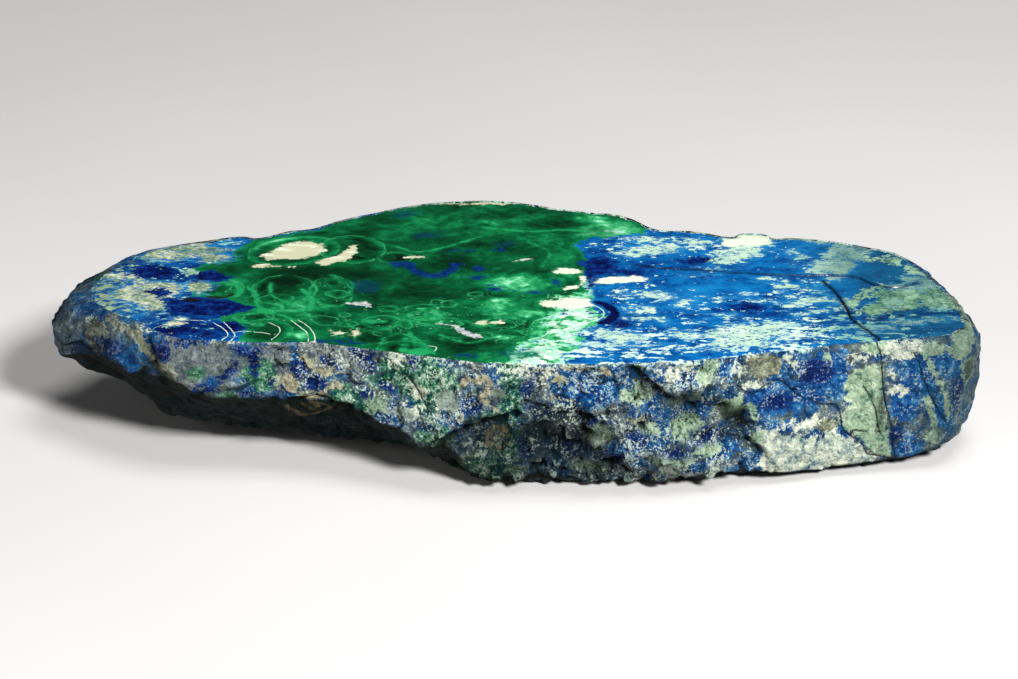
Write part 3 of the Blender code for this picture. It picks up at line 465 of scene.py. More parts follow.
def soft_sum(soft_ovals, u, v):
    """Soft ovals added up, each fading from its strength at the centre to nothing at its outline."""
    total = np.zeros(len(u))
    for x, y, across, along, strength, *tilt in soft_ovals:
        total += strength * ease(SOFT_RISE * (1.0 - oval_reach(u, v, x, y, across, along, *tilt)))
    return total


def line_fields(lines, u, v):
    """The signed and the plain distance to the nearest of several lines."""
    off = np.full(len(u), -FAR)
    signed = np.full(len(u), -FAR)
    for line in lines:
        away, side = run_distance(u, v, curved(line))
        nearer = away < off
        off[nearer] = away[nearer]
        signed[nearer] = (away * side)[nearer]
    return signed, off


def cell_field(cells, u, v):
    """The distance to the nearest outline of several ovals, negative inside it."""
    signed = np.full(len(u), -FAR)
    for x, y, across, along, *tilt in cells:
        away = (oval_reach(u, v, x, y, across, along, *tilt) - 1.0) * (across + along) / 2
        signed = np.where(np.abs(away) < np.abs(signed), away, signed)
    return signed


def small_cells(count=22, seed=5):
    """Small growth cells spread over the laced part of the malachite."""
    draw = random.Random(seed)
    cells = []
    while len(cells) < count:
        x = draw.uniform(-76, 16)
        y = draw.uniform(-48, -8)
        size = draw.uniform(1.4, 3.4)
        chance = soft_sum(SOFT["lace"], np.array([x]), np.array([y]))[0]
        if draw.random() < chance:
            cells.append((x, y, size * draw.uniform(0.9, 1.7), size, draw.uniform(-30, 30)))
    return cells


def face_fields(x, y):
    """The markings of the polished face at each point."""
    fields = {"face_" + kind: field(shapes, x, y) for kind, shapes in FACE.items()}
    for kind, soft_ovals in SOFT.items():
        fields["face_" + kind] = soft_sum(soft_ovals, x, y)
    for kind, lines in (("vein", VEINS), ("twin", VEIN_TWINS), ("crack", FACE_CRACKS)):
        fields["face_" + kind], fields["face_" + kind + "_off"] = line_fields(lines, x, y)
    fields["face_cell"] = cell_field(CELLS + small_cells(), x, y)
    fields["face_cell_off"] = np.abs(fields["face_cell"])
    return fields


def rind_fields(drawn, facing_down, open_side):
    """The markings of the rind: drawn ones on the front, scattered ones elsewhere."""
    x, y, z = drawn.T
    front = (y < FRONT_REACH) & open_side
    fields = {}
    draw = random.Random(SCATTER_SEED)
    elsewhere = np.flatnonzero(open_side & ~front)
    # the front's drawn marks stop at its lower edge
    front &= ~((facing_down > 0.75) & (z < 0.5))
    for kind in sorted(RIND):
        found = np.full(len(x), FAR)
        found[front] = field(RIND[kind], x[front], z[front])
        for _ in range(SCATTER.get(kind, 0)):
            centre = drawn[elsewhere[draw.randrange(len(elsewhere))]]
            size = draw.uniform(1.6, 5.2)
            flat = draw.uniform(0.5, 1.0)
            away = np.hypot(np.hypot(x - centre[0], y - centre[1]) * flat, z - centre[2])
            found = np.where(front, found, np.maximum(found, size - away))
        fields["rind_" + kind] = found
    fields["rind_crack"], fields["rind_crack_off"] = line_fields(FRONT_CRACKS, x, z)
    fields["rind_crack_off"] = np.where(front, fields["rind_crack_off"], -FAR)
    # painted shade: the undercut at the left is darkened all over, and the rest only where it faces well
    # down
    start = 0.12 + 0.40 * ease((x - 8.0) / 14.0) * ease((10.0 - z) / 4.0)
    fields["rind_under_shade"] = ease((facing_down - start) / 0.45)
    # green runs down the back under the malachite, as it does over the front's middle
    fields["rind_behind"] = np.where(front, FAR, 20.0 - np.abs(x + 8.0) * 0.45)
    return fields


# ---- the mesh ----
def joined_solid(node):
    """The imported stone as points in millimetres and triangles, its doubled points joined."""
    bm = bmesh.new()
    bm.from_mesh(node.data)
    bmesh.ops.remove_doubles(bm, verts=bm.verts, dist=1e-6)
    bmesh.ops.triangulate(bm, faces=bm.faces)
    bm.verts.index_update()
    points = np.array([v.co for v in bm.verts]) / MM
    faces = np.array([[v.index for v in f.verts] for f in bm.faces])
    bm.free()
    return points, faces


def edges_of(faces):
    """Every edge once, and which edge each side of each triangle is."""
    sides = np.sort(np.concatenate([faces[:, [0, 1]], faces[:, [1, 2]], faces[:, [2, 0]]]), axis=1)
    edges, where = np.unique(sides, axis=0, return_inverse=True)
    return edges, where.reshape(3, -1)


def quarter(points, faces):
    """Each triangle cut in four at the middles of its sides."""
    edges, where = edges_of(faces)
    ab, bc, ca = where + len(points)
    a, b, c = faces.T
    cut = [np.stack(corner, axis=1) for corner in ((a, ab, ca), (ab, b, bc), (ca, bc, c), (ab, bc, ca))]
    return np.vstack([points, points[edges].mean(axis=1)]), np.concatenate(cut)


def relax(points, faces, held, rounds=3, share=0.55):
    """Points drawn towards their neighbours, except the held ones."""
    edges, _ = edges_of(faces)
    ends = np.concatenate([edges, edges[:, ::-1]])
    count = np.bincount(ends[:, 0], minlength=len(points))[:, None]
    for _ in range(rounds):
        around = np.stack(
            [np.bincount(ends[:, 0], points[ends[:, 1], i], len(points)) for i in range(3)], axis=1)
        moved = points + share * (around / np.maximum(count, 1) - points)
        points = np.where(held[:, None], points, moved)
    return points


def point_normals(points, faces):
    """Unit normals at the points."""
    a, b, c = (points[faces[:, i]] for i in range(3))
    across = np.cross(b - a, c - a)
    total = np.zeros_like(points)
    for i in range(3):
        total[:, i] = sum(np.bincount(corner, across[:, i], len(points)) for corner in faces.T)
    return total / np.maximum(np.linalg.norm(total, axis=1), 1e-9)[:, None]


def rim_loop(faces):
    """The open edge of the rind, in order."""
    edges, where = edges_of(faces)
    used = np.bincount(where.ravel(), minlength=len(edges))
    beside = {}
    for a, b in edges[used == 1]:
        beside.setdefault(int(a), []).append(int(b))
        beside.setdefault(int(b), []).append(int(a))
    start = min(beside)
    loop = [start, beside[start][0]]
    while True:
        onward = [p for p in beside[loop[-1]] if p != loop[-2]]
        if onward[0] == start:
            return loop
        loop.append(onward[0])


def noise_arrow(place):
    """Three noises at once, the same in every run."""
    return Vector([noise.noise(place + Vector(apart)) for apart in ((0, 0, 0), (31.4, 0, 0), (0, 47.1, 0))])


def rock_height(place, rough):
    """How far the rind stands out at a place, in millimetres."""
    bent = place + 1.3 * noise_arrow(place / 3.5)
    lump = 0.9 * noise.noise(bent / 7.0)
    hackle = 0.55 * (noise.ridged_multi_fractal(bent / 4.6, 0.85, 2.2, 5, 1.0, 2.0) - 1.1)
    near, centres = noise.voronoi(bent / 4.4)
    groove = -0.5 * math.exp(-8.0 * (near[1] - near[0]))
    lean = 5.0 * noise_arrow(centres[0] * 7.3)
    facet = 1.1 * lean.dot(bent / 4.4 - centres[0]) + 0.7 * noise.noise(centres[0] * 5.1)
    grain = 0.26 * noise.noise(place / 1.4)
    return rough * (lump + hackle + groove + facet) + (0.4 + 0.6 * rough) * grain


def roughness_at(x, y, z):
    """The broken lower middle of the front is roughest, and its right part is calm."""
    front = 1.0 if y < FRONT_REACH else 0.0
    middle = math.exp(-((x - 26.0) / 26.0) ** 2) * (0.40 if z < 26 else 0.15)
    calm = 1.0 / (1.0 + math.exp(-(x - 68.0) / 5.0))
    tip = 1.0 / (1.0 + math.exp((x + 66.0) / 7.0))
    return 0.50 + front * (middle - 0.25 * calm) - 0.28 * tip


def ledge_field(drawn):
    """Crevices cut into the front, each under a ledge that stands out."""
    x, y, z = drawn.T
    total = np.zeros(len(x))
    for depth, width, line in CREVICES:
        away, side = run_distance(x, z, curved(line))
        above = away * side
        total -= depth * np.exp(-(away / (0.6 * width)) ** 2)
        total += 0.40 * depth * np.exp(-((above - 1.3 * width) / width) ** 2) * (away < 3.5 * width)
    return np.where(y < FRONT_REACH, total, 0.0)


def rough_rind(points, faces, loop, floor_points):
    """The rind with its fine relief, and how far each point was moved.

    It stays still at the rim and where the stone rests.
    """
    normals = point_normals(points, faces)
    height = points[:, 2].max()
    drawn = points + DATUM
    _, crack_off = line_fields(FRONT_CRACKS, drawn[:, 0], drawn[:, 2])
    ledges = ledge_field(drawn)
    held = np.zeros(len(points), bool)
    held[loop] = True
    held[floor_points] = True
    fade = ease((height - points[:, 2]) / RIM_FADE) * ease(points[:, 2] / FLOOR_FADE)
    relief = np.zeros(len(points))
    for i in np.flatnonzero(~held & (fade > 0.0)):
        out = rock_height(Vector(points[i]), roughness_at(*drawn[i])) * fade[i]
        if drawn[i, 1] < FRONT_REACH and crack_off[i] < 1.0:
            out -= FRONT_CRACK_DEPTH * (1.0 - crack_off[i])
        out += ledges[i] * fade[i]
        relief[i] = out
    moved = points + normals * relief[:, None]
    moved[:, 2] = np.clip(moved[:, 2], 0.0, height - RIND_BELOW)
    moved[floor_points, 2] = 0.0
    return moved, relief, normals


def worn_rim(points, loop):
    """The rim with small chips: moved a little sideways and down."""
    for i in loop:
        place = Vector(points[i])
        points[i, 0] += RIM_RAGGED * (noise.noise(place / 2.6) + 0.5 * noise.noise(place / 0.9))
        aside = noise.noise(place / 3.4 + Vector((40, 0, 0)))
        points[i, 1] += RIM_RAGGED * (aside + 0.5 * noise.noise(place / 1.1))
        points[i, 2] -= RIM_WEAR * (1.0 + 1.6 * abs(noise.noise(place / 1.9 + Vector((0, 70, 0)))))
    return points


def crack_runs():
    """The centre and the two lips of each open crack on the face, in the stone's own axes."""
    runs = []
    for line in FACE_CRACKS:
        centre = np.array(curved(line, 7)) - DATUM[:2]
        along = np.gradient(centre, axis=0)
        along /= np.linalg.norm(along, axis=1)[:, None]
        across = np.stack([-along[:, 1], along[:, 0]], axis=1)
        taper = np.minimum(1.0, np.arange(len(centre)) / 8.0 + 0.35)[:, None]
        for side in (-1.0, 0.0, 1.0):
            runs.append((side, centre + side * CRACK_HALF * taper * across))
    return runs


def polished_face(rim_points, height):
    """A fine flat sheet inside the rim, with the cracks sunk into it.

    Gives its points, its triangles, and for each point the rim point it stands for, or -1.
    """
    outline = [tuple(p[:2]) for p in rim_points]
    low = rim_points[:, :2].min(axis=0)
    high = rim_points[:, :2].max(axis=0)
    row_gap = TOP_PITCH * math.sqrt(3) / 2
    rows = []
    for k, y in enumerate(np.arange(low[1], high[1], row_gap)):
        row = np.arange(low[0] + (k % 2) * TOP_PITCH / 2, high[0], TOP_PITCH)
        rows.append(np.stack([row, np.full(len(row), y)], axis=1))
    grid = np.concatenate(rows)
    away, _ = run_distance(grid[:, 0], grid[:, 1], outline, closed=True)
    grid = grid[within(grid[:, 0], grid[:, 1], outline) & (away > RIM_CLEAR)]
    places = [Vector(p) for p in outline]
    edges = [(i, (i + 1) % len(outline)) for i in range(len(outline))]
    sunk = [0.0] * len(outline)
    for side, run in crack_runs():
        clear, _ = run_distance(run[:, 0], run[:, 1], outline, closed=True)
        keep = within(run[:, 0], run[:, 1], outline) & (clear > RIM_CLEAR)
        run = run[keep]
        near, _ = run_distance(grid[:, 0], grid[:, 1], [tuple(p) for p in run])
        grid = grid[near > CRACK_CLEAR]
        first = len(places)
        places.extend(Vector(p) for p in run)
        edges.extend((first + k, first + k + 1) for k in range(len(run) - 1))
        depths = CRACK_DEPTH * np.minimum(1.0, np.arange(len(run)) / 12.0 + 0.2)
        sunk.extend(depths if side == 0.0 else [0.0] * len(run))
    places.extend(Vector(p) for p in grid)
    sunk.extend([0.0] * len(grid))
    flat, _, faces, origin, _, _ = geometry.delaunay_2d_cdt(places, edges, [], 1, 1e-5)
    made = np.array([(p.x, p.y) for p in flat])
    stands_for = np.array([min(o) if o and min(o) < len(outline) else -1 for o in origin])
    depth = np.array([max((sunk[k] for k in o), default=0.0) for o in origin])
    away, _ = run_distance(made[:, 0], made[:, 1], outline, closed=True)
    wear_and_highlight = RIM_WEAR * np.clip(1.0 - away / RIM_WIDTH, 0.0, 1.0) ** 2
    sheet = np.column_stack([made, height - wear_and_highlight - depth])
    return sheet, np.array([list(f) for f in faces]), stands_for


def specimen_mesh(node):
    """The whole skin of the stone: rind and polished face as one closed mesh."""
    points, faces = joined_solid(node)
    height = points[:, 2].max()
    flat = (points[faces][:, :, 2] > height - TOP_TOLERANCE).all(axis=1)
    faces = faces[~flat]
    for _ in range(SKIN_ROUNDS):
        points, faces = quarter(points, faces)
    used = np.unique(faces)
    renumber = np.full(len(points), -1)
    renumber[used] = np.arange(len(used))
    points = points[used]
    faces = renumber[faces]
    loop = rim_loop(faces)
    on_floor = points[:, 2] < FLOOR_TOLERANCE
    held = on_floor.copy()
    held[loop] = True
    points = relax(points, faces, held)
    points = worn_rim(points, loop)
    points, relief, normals = rough_rind(points, faces, loop, np.flatnonzero(on_floor))
    sheet, sheet_faces, stands_for = polished_face(points[loop], height)
    index = np.empty(len(sheet), int)
    is_rim = stands_for >= 0
    index[is_rim] = np.array(loop)[stands_for[is_rim]]
    index[~is_rim] = len(points) + np.arange((~is_rim).sum())
    everything = np.vstack([points, sheet[~is_rim]])
    relief = np.concatenate([relief, np.zeros((~is_rim).sum())])
    facing_down = np.concatenate([-normals[:, 2], np.full((~is_rim).sum(), -1.0)])
    return everything, faces, index[sheet_faces], relief, facing_down, points[loop]


def rim_distance(points, rim_points):
    """How far each point lies from the rim."""
    tree = kdtree.KDTree(len(rim_points))
    for i, p in enumerate(rim_points):
        tree.insert(p, i)
    tree.balance()
    return np.array([tree.find(p)[2] for p in points])


def with_fields(mesh, points, rind_count, relief, facing_down, rim_points):
    """Writes the markings into the mesh, one number a point for each."""
    drawn = points + DATUM
    open_side = np.arange(len(points)) < rind_count
    fields = face_fields(drawn[:, 0], drawn[:, 1])
    fields.update(rind_fields(drawn, facing_down, open_side))
    fields["relief"] = relief
    fields["rim_off"] = rim_distance(points, rim_points)
    for name, values in fields.items():
        attribute = mesh.attributes.new(name, "FLOAT", "POINT")
        attribute.data.foreach_set("value", np.clip(values, FAR, -FAR).astype(np.float32))


def make_specimen(node, face_material, rind_material):
    """The stone's visible piece."""
    points, rind_faces, top_faces, relief, facing_down, rim_points = specimen_mesh(node)
    normal_up = np.cross(points[top_faces[:, 1]] - points[top_faces[:, 0]],
                         points[top_faces[:, 2]] - points[top_faces[:, 0]])[:, 2] > 0
    top_faces[~normal_up] = top_faces[~normal_up][:, ::-1]
    mesh = bpy.data.meshes.new("specimen")
    mesh.from_pydata((points * MM).tolist(), [], np.concatenate([rind_faces, top_faces]).tolist())
    mesh.materials.append(face_material)
    mesh.materials.append(rind_material)
    slots = np.concatenate([np.ones(len(rind_faces), int), np.zeros(len(top_faces), int)])
    mesh.polygons.foreach_set("material_index", slots)
    mesh.shade_smooth()
    with_fields(mesh, points, len(np.unique(rind_faces)), relief, facing_down, rim_points)
    mesh.set_sharp_from_angle(angle=SHARP_ANGLE)
    specimen = bpy.data.objects.new("specimen", mesh)
    bpy.context.collection.objects.link(specimen)
    return specimen


# ---- materials ----
def shade(colour, strength, chalk=0.0):
    """A mineral's colour, weaker or stronger, with a share of white chalk in it."""
    return tuple(channel * strength * (1.0 - chalk) + chalk for channel in colour)


# mineral colours and colours of painted shade and highlight, as linear light; malachite is one green in six
# strengths
MALACHITE = (0.001, 0.10, 0.03)
GREEN_BLACK = shade(MALACHITE, 0.13)
GREEN_DEEP = shade(MALACHITE, 0.42)
GREEN_MID = MALACHITE
GREEN_LIVELY = shade(MALACHITE, 2.1, 0.003)
GREEN_STROKE = shade(MALACHITE, 3.1, 0.01)
GREEN_PALE = shade(MALACHITE, 4.6, 0.06)
MINT_BRIGHT = (0.36, 0.80, 0.54)
MINT_GREY = (0.28, 0.56, 0.44)
IVORY = (0.60, 0.60, 0.40)
CREAM_WHITE = (0.76, 0.92, 0.76)
BONE = (0.62, 0.62, 0.56)
AZURE_MID = (0.0015, 0.115, 0.355)
AZURE_LIGHT = (0.006, 0.205, 0.50)
ROYAL = (0.0008, 0.045, 0.215)
NAVY_DEEP = (0.0005, 0.010, 0.095)
SLATE = (0.010, 0.024, 0.030)
ASH = (0.14, 0.19, 0.18)
STONE_GREY = (0.36, 0.41, 0.45)
CRACK_BLACK = (0.002, 0.008, 0.014)
PAINTED_UNDER_SHADE = (0.0014, 0.0050, 0.0026)
TIP_SHADE_BLUE = (0.001, 0.018, 0.08)
DULL_BLUE = (0.004, 0.055, 0.12)
WEB_BLUE = (0.001, 0.022, 0.07)
FLECK_PALE = (0.64, 0.86, 0.7)
FLECK_DULL = (0.16, 0.34, 0.3)
FLECK_STRAW = (0.26, 0.33, 0.17)
FLECK_EDGE = (0.05, 0.3, 0.55)
PATCH_EDGE = (0.04, 0.27, 0.52)
SMUDGE_BLUE = (0.0008, 0.035, 0.095)
SINK_BROWN = (0.01, 0.006, 0.003)
RING_DEEP = (0.0006, 0.014, 0.12)
RING_LIGHT = (0.0015, 0.05, 0.23)
IVORY_LIGHT = (0.76, 0.8, 0.6)
IVORY_COOL = (0.76, 0.88, 0.7)
CRESCENT_BLUE = (0.0005, 0.003, 0.05)
END_TEAL = (0.008, 0.05, 0.05)
CRACK_SIDE = (0.0008, 0.018, 0.075)
DARK_SPOT_AND_SHADE = (0.006, 0.012, 0.01)
PAINTED_SHADE_DARK = (0.0015, 0.008, 0.009)
GRAIN_PALE = (0.68, 0.8, 0.68)
GRAIN_BLUE = (0.002, 0.028, 0.105)
PIT_PAINTED_SHADE = (0.0015, 0.007, 0.01)
PAINTED_HIGHLIGHT = (0.46, 0.58, 0.46)
BALL_DARK = (0.2, 0.28, 0.22)
BALL_LIGHT = (0.4, 0.48, 0.4)
CURL_DARK = (0.26, 0.24, 0.13)
CURL_LIGHT = (0.56, 0.53, 0.36)
TIP_PAINTED_SHADE = (0.001, 0.01, 0.045)
END_DARK = (0.004, 0.03, 0.05)
OCHRE = (0.11, 0.088, 0.042)
FLOOR_GREY = (0.6, 0.59, 0.58)
FLOOR_PALE = (0.63, 0.62, 0.61)


def join(value, socket):
    """Puts a number, a colour or another node's output into a socket."""
    if isinstance(value, Value):
        value.tree.links.new(value.socket, socket)
    elif socket.type == "RGBA":
        socket.default_value = (*value, 1.0)
    else:
        socket.default_value = value


def build(tree, kind, inputs, output=0, **settings):
    """Adds a node with its settings and inputs, and gives one of its outputs."""
    node = tree.nodes.new(kind)
    for name, setting in settings.items():
        setattr(node, name, setting)
    for name, value in inputs.items():
        join(value, node.inputs[name])
    return Value(tree, node.outputs[output])


def marking(tree, name):
    """A marking's number, as written into the mesh."""
    return build(tree, "ShaderNodeAttribute", {}, "Fac", attribute_name=name)


MIX_FIRST, MIX_SECOND, MIX_RESULT = 6, 7, 2     # the colour sockets of Blender's mix node
LINE_BEND = 0.55               # how far a noise bends a thin line
LINE_REACH = (0.9, 0.5)        # a line is drawn only this near its own course


def mix(share, a, b):
    """Colour a turned into colour b by a share."""
    inputs = {"Factor": share, MIX_FIRST: a, MIX_SECOND: b}
    return build(share.tree, "ShaderNodeMix", inputs, MIX_RESULT, data_type="RGBA")


class Value:
    """What a node gives: a number, a colour or a place.  Arithmetic on it adds more nodes."""

    def __init__(self, tree, socket):
        self.tree = tree
        self.socket = socket

    def math(self, kind, *others):
        """A number worked out from this one and others."""
        return build(self.tree, "ShaderNodeMath", dict(enumerate((self, *others))), operation=kind)

    def vector(self, kind, other, socket=1):
        """A place worked out from this one and another, or a number."""
        return build(self.tree, "ShaderNodeVectorMath", {0: self, socket: other}, operation=kind)

    def __add__(self, other):
        return self.math("ADD", other)

    def __sub__(self, other):
        return self.math("SUBTRACT", other)

    def __mul__(self, other):
        return self.math("MULTIPLY", other)

    def __abs__(self):
        return self.math("ABSOLUTE")

    def sine(self):
        return self.math("SINE")

    def fit(self, factor, start):
        """This number times a factor, plus a start."""
        return self.math("MULTIPLY_ADD", factor, start)

    def step(self, low, high, bottom=0, top=1):
        """0 below low and 1 above high, or bottom and top, with a soft rise between them."""
        inputs = {"Value": self, "From Min": low, "From Max": high, "To Min": bottom, "To Max": top}
        return build(self.tree, "ShaderNodeMapRange", inputs, "Result", interpolation_type="SMOOTHSTEP")

    def ramp(self, *stops):
        """A colour read from stops of place, red, green and blue."""
        made = build(self.tree, "ShaderNodeValToRGB", {"Fac": self}, "Color")
        elements = made.socket.node.color_ramp.elements
        while len(elements) < len(stops):
            elements.new(0.5)
        for element, (position, *colour) in zip(elements, stops):
            element.position = position
            element.color = (*colour, 1.0)
        return made

    def stretched(self, x, turn=0):
        """Places squeezed along x and turned, so that what is drawn there comes out longer."""
        inputs = {"Vector": self, "Scale": (1 / x, 1, 1), "Rotation": (0, 0, math.radians(turn))}
        return build(self.tree, "ShaderNodeMapping", inputs)

    def noise(self, size, detail=4, rough=0.55, shift=0, swirl=0):
        """Noise of about -1 to 1 with lumps of one size."""
        place = self.vector("ADD", (shift, -0.7 * shift, 1.3 * shift)) if shift else self
        inputs = {"Vector": place, "Scale": 1 / size, "Detail": detail, "Roughness": rough}
        return build(self.tree, "ShaderNodeTexNoise", {**inputs, "Distortion": swirl}, "Fac").fit(4, -2)

    def warped(self, size, reach, shift=0):
        """Places pushed about, so that what is drawn there flows."""
        place = self.vector("ADD", (shift, shift, shift)) if shift else self
        push = build(self.tree, "ShaderNodeTexNoise", {"Vector": place, "Scale": 1 / size}, "Color")
        push = push.vector("SUBTRACT", (0.5, 0.5, 0.5)).vector("SCALE", 2 * reach, "Scale")
        return self.vector("ADD", push)

    def cells(self, size, feature="DISTANCE_TO_EDGE"):
        """Distance to the nearest cell edge or cell centre, in cell sizes."""
        inputs = {"Vector": self, "Scale": 1 / size}
        return build(self.tree, "ShaderNodeTexVoronoi", inputs, "Distance", feature=feature)

    def patch(self, name, fleck, reach, paint, soft=0.22, share=1, grow=0):
        """This colour under a marking, whose edge is broken up by a noise of a given reach."""
        mask = (marking(self.tree, name) + fleck.fit(reach, grow)).step(-soft, soft)
        if share != 1:
            mask = mask * share
        return mix(mask, self, paint)

    def line(self, name, half, paint, soft, share, bend):
        """This colour under a thin line where a signed distance passes nought, bent by a noise."""
        across = marking(self.tree, name) + bend * LINE_BEND
        mask = abs(across).step(half + soft, half - soft)
        near = marking(self.tree, name + "_off").step(*(half + reach for reach in LINE_REACH))
        return mix(mask * near * share, self, paint)


class Paint:
    """One material, built node by node.  Places and sizes are in millimetres."""

    def __init__(self, name):
        self.material = bpy.data.materials.new(name)
        self.material.use_nodes = True
        self.tree = self.material.node_tree
        self.tree.nodes.clear()
        out = self.tree.nodes.new("ShaderNodeOutputMaterial")
        self.surface = self.tree.nodes.new("ShaderNodeBsdfPrincipled")
        self.tree.links.new(self.surface.outputs["BSDF"], out.inputs["Surface"])
        self.place = build(self.tree, "ShaderNodeTexCoord", {}, "Object").vector("SCALE", 1 / MM, "Scale")
        self.x, self.y, self.z = (
            build(self.tree, "ShaderNodeSeparateXYZ", {0: self.place}, axis) for axis in range(3))

    def field(self, name):
        """A marking's number, as written into the mesh."""
        return marking(self.tree, name)

    def put(self, name, value):
        """Puts a number or a node's output into one of the surface's sockets."""
        join(value, self.surface.inputs[name])

    def bump(self, height, strength, depth):
        """Gives the surface fine relief of a depth in millimetres."""
        inputs = {"Height": height, "Strength": strength, "Distance": depth * MM}
        self.put("Normal", build(self.tree, "ShaderNodeBump", inputs, "Normal"))


def tip_streaks(paint):
    """Slanting streaks, seen on the tapered tip."""
    return paint.place.warped(8, 2, shift=2).stretched(x=3.2, turn=-38).noise(2.2, 5, 0.7, shift=83)


def malachite(paint, fine, broad):
    """Green bands, cells and swirls."""
    place = paint.place.warped(9, 2.6)
    place = place.warped(2.8, 0.7, shift=31)
    tone = place.stretched(x=1.3).noise(8.5, 3, 0.5, swirl=0.4)
    mixed = paint.x.step(-34, -12, 0.4, 1)
    small = place.noise(2.4, 4, 0.6, shift=88) + fine * 0.5
    tone = tone * 0.42 + small * mixed * 0.26
    tone += paint.field("face_bright") * 0.62
    lace = paint.field("face_lace")
    cell = paint.field("face_cell")
    # contour bands of a smooth field, as growth layers make them
    layers = paint.place.warped(5, 1.2, shift=12).noise(8.5, 1, 0.4, shift=7)
    layers += cell * 0.05
    tone += (layers * 7.0).sine() * 0.09
    tone -= cell.step(-0.8, -3.5) * 0.4
    # each growth cell is lighter just inside its outline
    inside = cell.step(0.2, -0.2) * cell.step(-2.6, -0.4)
    tone += inside * 0.26
    tone = tone.fit(0.62, 0.385)
    colour = tone.ramp(
        (0.0, *GREEN_BLACK), (0.22, *GREEN_DEEP), (0.46, *GREEN_MID), (0.68, *GREEN_LIVELY),
        (0.88, *GREEN_PALE), (1.0, *MINT_BRIGHT))
    colour = colour.patch("face_dark", broad, 2.4, GREEN_BLACK, soft=2, share=0.6)
    # pale strokes, closed on themselves, that fade in and out
    come_and_go = paint.place.noise(7, 2, 0.5, shift=77).step(-0.35, 0.45)
    strokes = abs((layers * 5.5).sine())
    strokes = strokes.step(0.2, 0.02) * (come_and_go * lace.step(0, 0.6))
    colour = mix(strokes * 0.35, colour, GREEN_STROKE)
    curls = paint.place.warped(2.6, 1, shift=55).stretched(x=1.6).noise(3.4, 1, 0.4)
    curls = abs((curls * 4.0).sine())
    curls = curls.step(0.24, 0.02) * lace.step(0.25, 0.9)
    curls *= broad.step(0, 0.5)
    colour = mix(curls * 0.3, colour, GREEN_STROKE)
    outline = paint.place.noise(5, 2, 0.5, shift=14).step(-0.5, 0.35, 0.12, 1)
    bend = paint.place.noise(3, 2, 0.5, shift=19)
    colour = colour.line("face_cell", 0.12, GREEN_STROKE, soft=0.55, share=outline * 0.9, bend=bend)
    colour = colour.line("face_cell", 0.06, GREEN_PALE, soft=0.22, share=outline * 0.6, bend=bend)
    band = paint.field("face_stroke") + (bend + fine * 0.5) * 0.35
    colour = mix(band.step(-1.1, 0.1) * 0.35, colour, GREEN_LIVELY)
    colour = mix(band.step(-0.25, 0.25) * 0.85, colour, GREEN_STROKE)
    spots = fine.step(0.55, 0.75) * lace.step(0.1, 0.8)
    return mix(spots * 0.6, colour, MINT_BRIGHT)


def azurite(paint, fine, broad):
    """Blue ground with pale flecks drawn out along the stone."""
    long_place = paint.place.warped(7, 1.6, shift=9).stretched(x=1.7, turn=-4)
    tone = long_place.noise(6, 6, 0.68, shift=17)
    tone = tone * 1.1 + fine * 0.45
    tone += paint.field("face_azure").step(-3, 2) * 0.4
    tone -= paint.field("face_deep") * 0.95
    tone = tone.fit(0.42, 0.48)
    colour = tone.ramp((0.0, *NAVY_DEEP), (0.28, *ROYAL), (0.52, *AZURE_MID), (0.9, *AZURE_LIGHT))
    # steel blue towards the tapered tip
    left = paint.x.step(-92, -108)
    teal = tip_streaks(paint).fit(0.7, 0.46).ramp(
        (0.0, 0.001, 0.012, 0.06), (0.4, 0.005, 0.06, 0.19), (0.62, 0.016, 0.1, 0.22),
        (0.76, 0.12, 0.2, 0.16), (0.98, 0.36, 0.4, 0.28))
    colour = mix(left * 0.9, colour, teal)
    # painted shade darkening the tapered tip
    colour = mix(left * 0.25, colour, TIP_SHADE_BLUE)
    # the right end is duller
    dull = (paint.x + broad * 6.0).step(82, 102)
    colour = mix(dull * 0.5, colour, DULL_BLUE)
    olive = (broad + fine * 0.8).fit(0.5, 0.5).ramp(
        (0.0, *ROYAL), (0.22, 0.12, 0.27, 0.14), (0.48, 0.24, 0.44, 0.28),
        (0.85, 0.46, 0.7, 0.48))
    web = paint.place.warped(3, 1.4, shift=21).cells(5.5).step(0.06, 0.02)
    olive = mix(web * 0.55, olive, WEB_BLUE)
    colour = colour.patch("face_olive", fine + broad, 3, olive, soft=0.3)
    # flecks: dense where the stone is most mixed
    fleck_place = paint.place.warped(3, 0.7, shift=4).stretched(x=1.7, turn=-5)
    fleck = fleck_place.noise(1.5, 5, 0.7, shift=23)
    fleck += fleck_place.noise(4.2, 3, 0.6, shift=71) * 0.55
    rows = paint.place.stretched(x=7, turn=-4).noise(1.5, 2, 0.5, shift=58)
    fleck += rows * paint.y.step(-24, -34, 0, 0.55)
    level = paint.field("face_fleck").fit(-0.98, 0.8)
    flecks = (fleck - level).step(0, 0.06)
    pale = mix(mottled_tone(paint).step(-0.3, 0.5), MINT_GREY, FLECK_PALE)
    pale = mix(dull * 0.22, pale, FLECK_DULL)
    pale = mix(left * 0.9, pale, FLECK_STRAW)
    # each fleck is sky blue at its edge
    edge = (fleck - level).step(-0.16, 0)
    colour = mix(edge * 0.55, colour, FLECK_EDGE)
    return mix(flecks, colour, pale)


def mottled_tone(paint):
    """Where pale matter is brightest: by the front of the stone rather than at its two ends."""
    sunny = paint.x.step(92, 74) * paint.x.step(-80, -60)
    return paint.place.noise(5, 4, 0.65, shift=51) + sunny.fit(1.5, -0.9)


